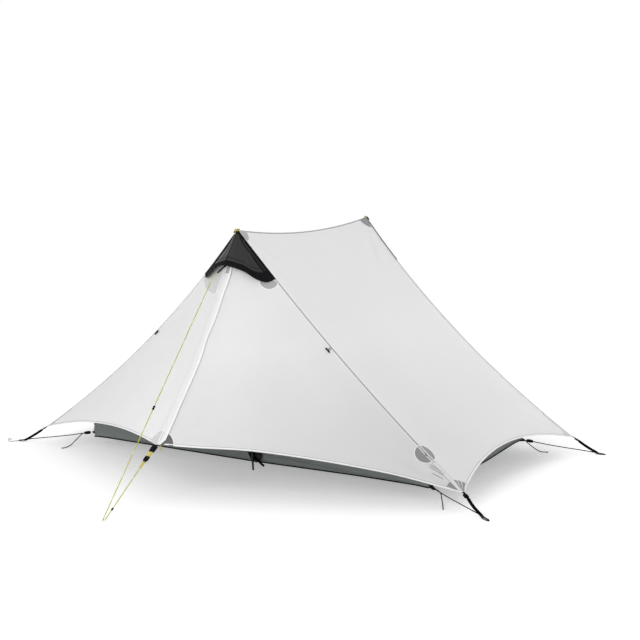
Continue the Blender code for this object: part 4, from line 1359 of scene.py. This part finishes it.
def run_guy_lines(half):
    turn = TURNS[half]
    slot = "yellow_guy_line"

    def tie(name, place, step, size, skin=GUY):
        return knot(f"{half}_{name}", turn @ (place + Vector(step)), size, skin, slot)

    tensioner = cord_rider(half, "tensioner_body", "guy_tensioner", GUY_START, GUY_END, TENSIONER_SHARE,
                           0.0058, 0.019, "tensioner")
    guy_knot = tie("guy_knot", UNDER_APEX, (0.0, 0.001, 0.001), 0.0036, BLACK_CORD)
    peg_knot = tie("guy_peg_knot", GUY_END, (0.0, 0.008, 0.0045), 0.0034)
    lead = [UNDER_BRIM.lerp(GUY_CLEAR, 0.05 + 0.20 * i) for i in range(4)]
    tube(f"{half}_guy_lead", half, lead, 0.0046, BLACK_CORD, slot)
    stretches = (((UNDER_APEX, UNDER_BRIM), 8), ((UNDER_BRIM, GUY_CLEAR), 5), ((GUY_CLEAR, GUY_END), 26))
    route = [turn @ stop for ends, count in stretches for stop in smooth_route(ends, count)[:-1]]
    route.append(turn @ GUY_END)
    free_cord(f"{half}_guy_line", f"{half}_apex_guy", route, GUY_RADIUS, GUY)
    lock = cord_rider(half, "cord_lock_barrel", "cord_lock", CORD_START, CORD_END, CORD_LOCK_SHARE,
                      0.0048, 0.012, "cord_lock_body")
    end_knot = tie("vestibule_knot", CORD_END, (0.0, 0.004, 0.003), 0.0032)
    route = [turn @ stop for stop in smooth_route([CORD_START, CORD_END], 15)]
    free_cord(f"{half}_vestibule_line", f"{half}_vestibule_cord", route, GUY_RADIUS, GUY)


TUB_TIE = Vector((FLOOR_LENGTH / 2.0 + 0.016, -(FLOOR_WIDTH / 2.0 + 0.022), 0.066))
CORD_PEG = Vector((PEG_ALONG + 0.003, -(PEG_ACROSS - 0.003), CORD_RADIUS + 0.0022))
FAR_TAIL = ((0.0, 0.0, 0.0), (0.003, -0.006, -0.008), (0.016, -0.012, -0.020), (0.045, -0.026, -0.045),
            (0.075, -0.042, -0.0630), (0.115, -0.050, -0.0635))
NEAR_TAILS = {
    1: (0.80, ((1.158, -0.618, 0.028), (1.172, -0.634, 0.0045), (1.190, -0.668, 0.0027),
               (1.208, -0.700, 0.0027))),
    -1: (0.865, ((1.122, -0.640, 0.030), (1.118, -0.690, 0.0095), (1.119, -0.735, 0.0027),
                 (1.124, -0.755, 0.0027))),
}
GROUND_LOOP = ((1.458, -0.742), (1.476, -0.780), (1.496, -0.788), (1.520, -0.768), (1.540, -0.742),
               (1.516, -0.746))
BARREL = [(0.0020, 0.018), (0.0062, 0.018), (0.0084, 0.013), (0.0092, 0.003), (0.0086, -0.009),
          (0.0060, -0.018), (0.0020, -0.018), (0.0020, 0.018)]


def corner_cord_stops(half, hand):
    """From the peg up to the tub's corner, and then the free tail down to the ground."""
    up_to = lambda share, *step: CORD_PEG.lerp(TUB_TIE, share) + Vector(step or (0.0, 0.0, 0.0))
    stops = [CORD_PEG, up_to(0.30, 0.0, 0.0, -0.001), up_to(0.65, 0.0, 0.0, -0.003)]
    if half == "far":
        return [*stops, up_to(0.92), *(TUB_TIE + Vector(step) for step in FAR_TAIL)]
    back, ground = NEAR_TAILS[hand]
    return [*stops, up_to(0.90), up_to(0.925, 0.0, 0.0, 0.0012), up_to(0.90, 0.0, 0.0024, 0.0012),
            up_to(back, 0.0, 0.0010, -0.0035), *map(Vector, ground)]


def run_corner_cord(half, hand, word):
    turn = TURNS[half]
    slot = "black_cord"
    stem = f"{half}_{word}"
    route = [turn @ mirrored(stop, hand) for stop in smooth_route(corner_cord_stops(half, hand), 60)]
    barrel = spun(BARREL, 16)
    bmesh.ops.scale(barrel, vec=(1.0, 0.72, 1.0), verts=barrel.verts)
    near_tub = turn @ mirrored(TUB_TIE.lerp(CORD_PEG, 0.060), hand)
    lock = mould(f"{stem}_cord_barrel", aim(barrel, near_tub, turn @ mirrored(TUB_TIE - CORD_PEG, hand), UP))
    end_bead = knot(f"{stem}_tail_bead", route[-1] + Vector((0, 0, 0.0016)), 0.0030, BLACK_CORD, slot)
    mid_knot = knot(f"{stem}_cord_knot", route[11], 0.0030, BLACK_CORD, slot)
    free_cord(f"{stem}_corner_line", f"{stem}_corner_cord", route, CORD_RADIUS, BLACK_CORD)
    if half == "near" and hand < 0:
        loop = [mirrored(Vector((x, y, 0.0028)), hand) for x, y in GROUND_LOOP]
        tube(f"{stem}_ground_loop", half, smooth_route(loop, 40), 0.0024, PALE_CORD, slot)
    tab_top = mirrored(Vector((FLOOR_LENGTH / 2.0 - 0.006, -(FLOOR_WIDTH / 2.0 - 0.006), 0.068)), hand)
    tab_end = mirrored(TUB_TIE + Vector((-0.001, 0.003, 0.0)), hand)
    lay_webbing(f"{stem}_tub_tab", half, straight(tab_top, tab_end), UP, 0.006, 6, 0.0016)


# Webbing and buckles

def level_side(direction):
    return UP.cross(direction).normalized()


def rest_height(place):
    """Webbing lies on the ground, never under it."""
    place.z = max(place.z, WEBBING_THICK / 2.0 + 0.0001)
    return place


def strap_route(hand):
    """The peg strap's line: straight down from the ladder buckle, then flat on the ground."""
    start = corner(hand)
    peg = rest_height(Vector((PEG_ALONG * hand, -PEG_ACROSS, 0.0)))
    run = Vector((peg.x - start.x, peg.y - start.y, 0.0)).normalized()
    landing = peg - run * STRAP_BEFORE_PEG
    begin = start + (landing - start).normalized() * (LADDER_START + LADDER_SIZE.x + LADDER_TO_STRAP)
    return begin, landing, peg + run * STRAP_PAST_PEG


def lay_strap(half, hand, word):
    """Webbing from the buckle to its peg slot, with a sewn end and cross-stitched bars."""
    begin, landing, past = strap_route(hand)
    start = begin - (landing - begin).normalized() * STRAP_UNDERLAP
    sloped, flat = (landing - start).length, (past - landing).length
    total = sloped + flat
    side, ahead = level_side(past - landing), (past - landing).normalized()
    lifted = (landing - start).normalized().cross(side)
    stem = f"{half}_{word}"

    def centre(way):
        if way >= sloped:
            return rest_height(landing.lerp(past, (way - sloped) / flat))
        place = start.lerp(landing, way / sloped)
        place.z -= STRAP_DROOP * math.sin(math.pi * way / sloped)
        return rest_height(place)

    bm = unit_grid(12, 48)
    slot_faces = [f for f in bm.faces if abs(f.calc_center_median().x) < STRAP_SLOT_HALF
                  and STRAP_SLOT[0] < f.calc_center_median().y < STRAP_SLOT[1]]
    bmesh.ops.delete(bm, geom=slot_faces, context="FACES")
    map_loops(bm, lambda spot: (spot.x * WEBBING_WIDTH, spot.y * total))
    for vert in bm.verts:
        way = (vert.co.y + 0.5) * total
        roll = STRAP_ROLLS[hand] * eased(way / sloped * 7.0) * eased((1.0 - way / sloped) * 7.0)
        wander = side * 0.002 * math.sin(9.0 * vert.co.y)
        across = side * math.cos(roll) + lifted * math.sin(roll)
        vert.co = centre(way) + wander + across * vert.co.x * WEBBING_WIDTH
    finish_piece(f"{stem}_strap_webbing", bm, BLACK_WEBBING, half, slot="black_webbing",
                 replaces=(f"{stem}_corner_strap",), thick=WEBBING_THICK, bevel=0.0003)
    for i, way in enumerate(STRAP_BARS):
        spot = centre(way * total) + UP * 0.0011
        bar = ribbon(lambda t: spot + side * (t - 0.5) * WEBBING_WIDTH * 0.86, ahead, (-0.0008, 0.0008), 10)
        finish_piece(f"{stem}_strap_bar_{i + 1}", bar, STITCH, half, slot="black_webbing", thick=0.0008)


def fit_ladder(half, hand, word):
    """A ladder buckle: two sides, three bars and a lifted thumb lip, with webbing through it."""
    ahead = (strap_route(hand)[1] - corner(hand)).normalized()
    side = level_side(ahead)
    above = ahead.cross(side)
    place = corner(hand) + ahead * (LADDER_START + LADDER_SIZE.x / 2.0)
    long, wide, tall = LADDER_SIZE
    sizes = [((0.0, s * (wide / 2.0 - 0.0022), 0.0), (long, 0.0044, tall)) for s in (1, -1)]
    sizes += [((k * long * 0.40, 0.0, 0.0006 * abs(k)), (0.0040, wide * 0.9, tall * 0.8)) for k in (-1, 0, 1)]
    sizes.append(((-long * 0.44, 0.0, tall * 0.42), (0.0046, wide * 0.62, 0.0022)))
    stem = f"{half}_{word}_ladder"
    mould(f"{stem}_frame", set_down(blocks(sizes, 0.0006), place, ahead, side, above), half,
          replaces=(f"{stem}_buckle",))
    weave = [corner(hand) - ahead * 0.010 + ahead * (k / 8.0 * (long + 0.022))
             + above * (0.0030 * math.sin(2.0 * math.pi * k / 8.0)) for k in range(9)]
    lay_webbing(f"{stem}_webbing", half, lambda t: spline_at(weave, t), side, 0.0070, 24, 0.0012)
    start = place + above * 0.003 - ahead * 0.006
    pull = [start + ahead * along + above * rise
            for along, rise in ((0.0, 0.0), (0.016, 0.0020), (0.030, 0.0010), (0.040, -0.0015))]
    lay_webbing(f"{stem}_tail", half, lambda t: spline_at(pull, t), side, 0.0045, 16, 0.0010)


RELEASE_BLOCKS = (
    ((0.017, 0.0, 0.0), (0.016, 0.028, 0.0110)),
    ((0.030, 0.0, 0.0), (0.016, 0.0170, 0.0090)),
    ((0.029, 0.0120, 0.0), (0.019, 0.0050, 0.0092)),
    ((0.029, -0.0120, 0.0), (0.019, 0.0050, 0.0092)),
    ((0.0405, 0.0, 0.0), (0.0085, 0.026, 0.0100)),
    ((0.0105, 0.0, 0.0), (0.0030, 0.022, 0.0060)),
)
CHAIN_LADDER_BLOCKS = (
    ((0.0775, 0.0, 0.0), (0.0050, 0.024, 0.0080)),
    ((0.0870, 0.0, 0.0008), (0.0060, 0.022, 0.0074)),
    ((0.0985, 0.0, 0.0), (0.0060, 0.018, 0.0074)),
    ((0.0885, 0.0096, 0.0), (0.0250, 0.0044, 0.0084)),
    ((0.0885, -0.0096, 0.0), (0.0250, 0.0044, 0.0084)),
    ((0.1055, 0.0, 0.0), (0.0080, 0.014, 0.0070)),
)


def fit_hem_chain(half):
    """Side-release buckle, yellow webbing and ladder buckle between the hem and its cord."""
    above = LENGTHWISE.cross(CHAIN_WAY)

    def buckle(name, sizes, width, **more):
        bm = set_down(blocks(sizes, width), HEM_POINT, CHAIN_WAY, LENGTHWISE, above)
        bmesh.ops.recalc_face_normals(bm, faces=bm.faces)
        mould(f"{half}_{name}", bm, half, **more)

    def web(name, start, length, reach, steps, thick, *look):
        lay_webbing(f"{half}_{name}", half, lambda t: HEM_POINT + CHAIN_WAY * (start + length * t),
                    LENGTHWISE, reach, steps, thick, *look)

    buckle("release_buckle", RELEASE_BLOCKS, 0.0009, replaces=(f"{half}_hem_buckle",))
    web("chain_webbing", 0.044, 0.036, 0.0105, 12, 0.0022, *YELLOW)
    web("chain_lead", 0.106, 0.042, 0.0058, 12, 0.0046, *YELLOW)
    buckle("chain_ladder", CHAIN_LADDER_BLOCKS, 0.0007)
    web("hem_webbing", -0.014, 0.030, 0.0075, 10, 0.0018)
    pull = HEM_POINT + Vector((0.024, 0.006, -0.002))
    loop = [pull + Vector((0.0045 * math.sin(a), -0.002, -0.013 + 0.013 * math.cos(a))) for a in angles(20)]
    tube(f"{half}_zip_pull_loop", half, loop, 0.0014, *YELLOW, closed=True)


def angles(count):
    return [2.0 * math.pi * i / count for i in range(count)]


def fit_apex_loop(half):
    """The yellow webbing loop at the apex, its sewn tail, and the black binding under it."""
    centre = APEX + Vector((0.005, -0.012, 0.0035))
    wide = 0.0135 if half == "near" else 0.0090
    ring = [centre + Vector((wide * math.cos(a), 0.0110 * math.sin(a), 0.0035 * math.sin(a)))
            for a in angles(28)]
    loop = tube(f"{half}_apex_webbing_loop", half, ring, 0.0023, *YELLOW, closed=True)
    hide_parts(f"{half}_apex_loop")
    tail = [APEX + Vector((0.001 * k, -0.0195 - 0.0042 * k, -0.004 - 0.0075 * k)) for k in range(3)]
    tube(f"{half}_apex_loop_tail", half, tail, 0.0020, *YELLOW)
    saddle = [APEX + Vector((x, -0.008, z)) for x, z in
              ((-0.016, -0.012), (-0.008, -0.003), (0.0, 0.0025), (0.008, -0.003), (0.016, -0.012))]
    lay_webbing(f"{half}_apex_saddle", half, lambda t: spline_at(saddle, t), Vector((0.0, 1.0, 0.0)), 0.008,
                24, 0.0012, BINDING)


TOGGLE = [(0.0, 0.0155), (0.0030, 0.0150), (0.0043, 0.0110), (0.0036, 0.004), (0.0030, 0.0),
          (0.0036, -0.004), (0.0043, -0.0110), (0.0030, -0.0150), (0.0, -0.0155)]


def hang_toggle(half, hand, word):
    """A barrel toggle lying on the side panel beside the hip, on a doubled olive cord."""
    root = hip(hand)(TOGGLE_SHARE)
    along = ((hip(hand)(TOGGLE_SHARE + 0.01) - hip(hand)(TOGGLE_SHARE - 0.01)) * hand).normalized()
    out = (SEAM(TOGGLE_SHARE) - root).cross(along).normalized()
    middle = root + out * TOGGLE_OUT + along.cross(out) * TOGGLE_REACH
    stem = f"{half}_{word}"
    mould(f"{stem}_toggle_barrel", aim(spun(TOGGLE, 16), middle, along), half, sharp=False,
          replaces=(f"{stem}_hip_toggle",))
    for k, spread in enumerate((-1.0, 1.0)):
        line = [root + along * spread * 0.005, root.lerp(middle, 0.5) + along * spread * 0.0035 + out * 0.003,
                middle + along * spread * 0.0018]
        tube(f"{stem}_toggle_cord_{k + 1}", half, [spline_at(line, i / 12.0) for i in range(13)], 0.0012,
             OLIVE_CORD, "black_cord")


# Zips

SLIDER_BLOCKS = (
    ((0, 0.0010, 0), (0.0090, 0.0012, 0.0130)),
    ((0, -0.0014, 0), (0.0090, 0.0012, 0.0130)),
    ((0, 0.0, -0.005), (0.0030, 0.0030, 0.0030)),
    ((0, 0.0024, 0.001), (0.0034, 0.0012, 0.0080)),
)


def fit_slider(half, name, node, body, ahead, side):
    """A zip slider, two shields on a bridge and a pull tab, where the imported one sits."""
    low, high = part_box(f"{half}_{node}")
    middle = TURNS[half].inverted() @ ((low + high) / 2.0)
    mould(f"{half}_{name}", aim(blocks(SLIDER_BLOCKS, 0.0004), middle, ahead, side), half,
          body=f"{half}_{body}", replaces=(f"{half}_{node}",))


def zip_middle(t):
    """The zip's middle, behind the storm flap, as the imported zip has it."""
    edge = SEAM(t) + DOOR_SIDE * (FLAP_WIDTH + SEAM_GAP) * below_top(t)
    return edge + Vector((-FLAP_WIDTH / 2.0, 0.006, -0.003))


def fit_zips(half):
    tape = ribbon(zip_middle, DOOR_SIDE, (-0.008, -COIL_HALF, 0.0, COIL_HALF, 0.008), 90, DOOR_TOP_SHARE,
                  0.97)
    finish_piece(f"{half}_zip_tape_coil", tape, ZIP, half, slot="zip_tape", replaces=(f"{half}_fly_zip",),
                 thick=0.0014)
    fit_slider(half, "slider_body", "fly_zip_slider", "fly_slider", SEAM(0.965) - SEAM(0.945), DOOR_SIDE)


# Inner tent

def inner_foot(shift=0.0):
    return Vector((shift, rim_corner(1, -1).y, TUB_WALL_TOP + SEAM_GAP))


def sew_net(name, half, surface, normal, depth, low, rests_on, **more):
    """A slack panel of netting."""
    slack = lambda u, v: surface(u, v) - normal * (depth * math.sin(math.pi * u) * math.sin(math.pi * v))
    net = finish_piece(name, cloth_grid(slack, 24, 24, normal, low), NET, half, slot="inner_mesh",
                       thick=NET_THICK, **more)
    declare_cloth(net)


def sew_inner(half):
    right = WORDS[half][0]
    far_top = Vector((0.0, INNER_APEX_ACROSS, INNER_APEX_HEIGHT))
    left_rim, right_rim = rim_corner(-1, -1), rim_corner(1, -1)
    out = Vector((0.0, -1.0, 0.03)).normalized()
    end = coons(
        straight(INNER_APEX, right_rim), straight(far_top, rim_corner(1, 1)),
        drawn(INNER_APEX, far_top, INNER_RIDGE_SAG), straight(right_rim, rim_corner(1, 1)),
    )
    fixed = coons(straight(INNER_APEX, left_rim), straight(INNER_APEX, inner_foot()), point_edge(INNER_APEX),
                  straight(left_rim, inner_foot()))
    leaf = coons(straight(INNER_APEX + LENGTHWISE * INNER_SLOT, inner_foot(INNER_SLOT)),
                 straight(INNER_APEX, right_rim), point_edge(INNER_APEX),
                 straight(inner_foot(INNER_SLOT), right_rim))
    held_by = [f"{half}_pole_upper_tube", "floor_tub"]
    sew_net(f"inner_end_net_{right}", half, end, Vector((0.66, 0.0, 0.75)).normalized(), 0.018, 0.003,
            held_by, replaces=(f"inner_end_wall_{right}",))
    sew_net(f"{half}_inner_side_net", half, fixed, out, 0.006, 0.01, held_by,
            replaces=(f"{half}_inner_fixed_wall",))
    sew_net(f"{half}_inner_door_net", half, leaf, out, 0.006, 0.02, [f"{half}_inner_side_net"],
            body=f"{half}_inner_door_leaf", replaces=(f"{half}_inner_door",))
    for name, foot in (("left_net_seam", left_rim), ("right_net_seam", right_rim),
                       ("upright_zip_tape", inner_foot(-0.002))):
        band = ribbon(lambda t: INNER_APEX.lerp(foot, t) + out * 0.0012, Vector((1.0, 0.0, 1.0)),
                      (-0.004, 0.0, 0.004), 40, 0.01, 0.995)
        finish_piece(f"{half}_{name}", band, BINDING, half, slot="inner_mesh", thick=0.0010)
    fit_slider(half, "inner_slider_body", "inner_zip_slider", "inner_slider", inner_foot() - INNER_APEX,
               LENGTHWISE)


TUB_SEAM = Vector((FLOOR_LENGTH / 2.0, FLOOR_WIDTH / 2.0, TUB_SEAM_HEIGHT))
TUB_STOPS = (
    (0.0, Vector((0.0, 0.0, 0.0))),
    (0.6, Vector((TUB_SEAM.x - TUB_FLAT_MARGIN, TUB_SEAM.y - TUB_FLAT_MARGIN, 0.0))),
    (0.8, TUB_SEAM),
    (1.0, Vector((TUB_SEAM.x + TUB_WALL_LEAN, TUB_SEAM.y + TUB_WALL_LEAN, TUB_WALL_TOP))),
)
WALL_SEAM = (
    Vector((0.05, -0.5540, 0.091)), Vector((0.32, -0.5535, 0.0794)), Vector((0.56, -0.5525, 0.0656)),
    Vector((0.79, -0.5520, 0.0600)), Vector((1.04, -0.5530, 0.0600)),
)


def tub_profile(ring):
    """Half length, half width and height of the tub at a ring, from 0 inside to 1 at the rim."""
    for (low, a), (high, b) in zip(TUB_STOPS, TUB_STOPS[1:]):
        if ring <= high + 1e-6:
            break
    return a.lerp(b, (ring - low) / (high - low))


def seam_rise(x, y):
    """How much higher the foot seam lies at a place on the tub's outline, from -1 to 1 each way."""
    near_peg = min(max(-1.6 * x * y, 0.0), 1.0) * 0.011
    far_corner = max((x + y - 1.15) / 0.80, 0.0) * 0.029
    return near_peg + far_corner


def tub_point(x, y):
    """A point of the tub over a square from -1 to 1, its corners drawn out to the corner cords."""
    ring = max(abs(x), abs(y))
    if ring < 1e-9:
        return Vector((0.0, 0.0, 0.0))
    size = tub_profile(ring)
    out = Vector((x / ring, y / ring, 0.0))
    lifted = min(max((ring - 0.6) / 0.2, 0.0), 1.0) * min(max((1.0 - ring) / 0.2, 0.0), 1.0)
    place = Vector((out.x * size.x, out.y * size.y, size.z + seam_rise(out.x, out.y) * lifted))
    tie = Vector((math.copysign(FLOOR_LENGTH / 2.0, x), math.copysign(FLOOR_WIDTH / 2.0, y), TIE_HEIGHT))
    pull = math.exp(-((place - tie).length / TIE_REACH) ** 2)
    place += Vector((math.copysign(TIE_PULL[0], x), math.copysign(TIE_PULL[1], y), 0.0)) * pull
    if ring > RUCK_FROM:
        ruck = TUB_RUCK * noise.noise(place * 9.0) * min((ring - RUCK_FROM) / 0.1, 1.0)
        place += Vector((place.x, place.y, 0.0)).normalized() * (ruck - TUB_INSET)
    return place


def sew_tub():
    bm = bmesh.new()
    bmesh.ops.create_grid(bm, x_segments=100, y_segments=100, size=1.0)
    for vert in bm.verts:
        vert.co = tub_point(vert.co.x, vert.co.y)
    map_loops(bm, lambda spot: [way + math.copysign(spot.z, way) for way in spot.xy])
    tub = finish_piece("tub_cloth", bm, TUB, slot="tub_fabric", replaces=("floor_tub",), thick=0.0010,
                       offset=1.0)
    rounds = [(1.0, -1.0), (1.0, 1.0), (-1.0, 1.0), (-1.0, -1.0)]

    def around(t, ring):
        place = (t % 1.0) * 4.0
        k = int(place) % 4
        a, b = rounds[k], rounds[(k + 1) % 4]
        s = place - int(place)
        return tub_point((a[0] + (b[0] - a[0]) * s) * ring, (a[1] + (b[1] - a[1]) * s) * ring)

    # The foot seam is a real seam; its thick black tube also stands in as painted shade for the tub's
    # shadowed underside.
    for name, ring, radius in (("tub_rim_tape", 0.995, 0.0017), ("tub_foot_seam", 0.80, 0.0034)):
        tube(name, "near", [around(i / 240.0, ring) for i in range(240)], radius, BINDING, "tub_fabric",
             closed=True)
    for half in TURNS:
        seam = [stop + Vector((0.0, 0.0012, 0.0)) for stop in smooth_route(WALL_SEAM, 60)]
        tube(f"{half}_tub_wall_seam", half, seam, 0.0022, TUB, "tub_fabric", sides=5)
    declare_cloth(tub)


# Poles

POLE_FOOT = Vector((POLE_FOOT_ALONG, -POLE_FOOT_ACROSS, 0.0006))
POLE_LEAN = (APEX - POLE_FOOT).normalized()
POLE_SIDE = (LENGTHWISE - POLE_LEAN * POLE_LEAN.x).normalized()
POLE_BACK = POLE_LEAN.cross(POLE_SIDE)
LEVER_SIZE = (0.0235, 0.0038, 0.0290)
CLAMP_BAND = ((0.0132, 0.018), (0.0136, 0.016), (0.0136, -0.016), (0.0132, -0.018))
CLAMP_SCREW = ((0.0, 0.0016), (0.0026, 0.0014), (0.0030, 0.0), (0.0, 0.0))


def dress_pole(half):
    """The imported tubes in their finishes, with a lever, band and screw on the lock."""
    for word, skin in (("upper", UPPER_TUBE), ("lower", LOWER_TUBE)):
        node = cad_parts[f"{half}_pole_{word}_tube"]
        node.data.materials.clear()
        node.data.materials.append(skin)
        smooth_round(node)
    pin = POLE_FOOT + POLE_LEAN * (POLE_JOIN + COLLAR_LENGTH / 2.0)
    front = pin - POLE_BACK * (COLLAR_RADIUS + 0.003)
    bm = bmesh.new()
    bmesh.ops.create_cube(bm, size=1.0)
    bmesh.ops.scale(bm, vec=LEVER_SIZE, verts=bm.verts)
    bmesh.ops.subdivide_edges(bm, edges=bm.edges[:], cuts=4, use_grid_fill=True)
    for vert in bm.verts:
        vert.co.y += 6.0 * vert.co.x**2
        vert.co.z *= 1.0 - 0.18 * max(-vert.co.x / 0.012, 0.0)
    aim(bm, front - POLE_BACK * 0.0006, POLE_LEAN, POLE_SIDE)
    lever = mould(f"{half}_clamp_lever", bm, half, sharp=False, body=f"{half}_lock_lever",
                  replaces=(f"{half}_pole_lock_lever",), bevel=0.0006)
    lever.data.set_sharp_from_angle(angle=math.radians(40.0))
    mould(f"{half}_clamp_band", aim(spun(CLAMP_BAND, 28), pin, POLE_LEAN), half, sharp=False, thick=0.0006,
          offset=1.0)
    screw = aim(spun(CLAMP_SCREW, 16), pin - POLE_SIDE * 0.0142, -POLE_SIDE)
    finish_piece(f"{half}_clamp_screw", screw, BRIGHT, half, slot="pole_alloy")


def flat_patch(name, half, skin, outline, across, replaces=()):
    """A stiff flat piece with this outline of (x, z) points, standing at a place across."""
    bm = bmesh.new()
    face = bm.faces.new([bm.verts.new((x, 0.0, z)) for x, z in outline])
    bmesh.ops.inset_individual(bm, faces=[face], thickness=0.0025, depth=0.0)
    bmesh.ops.subdivide_edges(bm, edges=bm.edges[:], cuts=2, use_grid_fill=True)
    bmesh.ops.translate(bm, vec=(0.0, across, 0.0), verts=bm.verts)
    map_flat(bm, Vector((0.0, -1.0, 0.0)))
    finish_piece(name, bm, skin, half, slot="black_webbing", replaces=replaces, thick=0.0016)


def fit_pole_tab(half):
    """The stiff tab on the tub's side, the patch beside it, and the short strap to the pole's foot."""
    flat_patch(f"{half}_pole_tab_web", half, BLACK_WEBBING,
               [(-0.002, 0.089), (0.045, 0.090), (0.039, 0.041), (0.026, 0.040)], -0.5600,
               (f"{half}_pole_tab",))
    flat_patch(f"{half}_pole_tab_patch", half, CHARCOAL,
               [(0.046, 0.090), (0.088, 0.092), (0.082, 0.060), (0.062, 0.044), (0.045, 0.038)], -0.5590)
    stops = [Vector((0.042, -0.5660, 0.0690)), Vector((0.067, -0.5675, 0.0550)),
             Vector((0.092, -0.5700, 0.0390)), Vector((0.1095, -0.5720, 0.0320))]
    lay_webbing(f"{half}_pole_tab_tail", half, lambda t: spline_at(stops, t), Vector((0.5, 0.0, 1.0)),
                0.0056, 16, 0.0016)


# Assembly

place_camera()
light_the_studio()
lay_floor()
sew_tub()
tape_ridge()
for half in TURNS:
    for make in (run_guy_lines, sew_end_panel, sew_fixed_panel, sew_right_panel, tape_hips, sew_patches,
                 sew_hood, fit_zips, sew_inner, dress_pole, fit_pole_tab, fit_hem_chain, fit_apex_loop):
        make(half)
    for hand, word in zip((1, -1), WORDS[half]):
        for make in (run_corner_cord, lay_strap, fit_ladder, hang_toggle):
            make(half, hand, word)
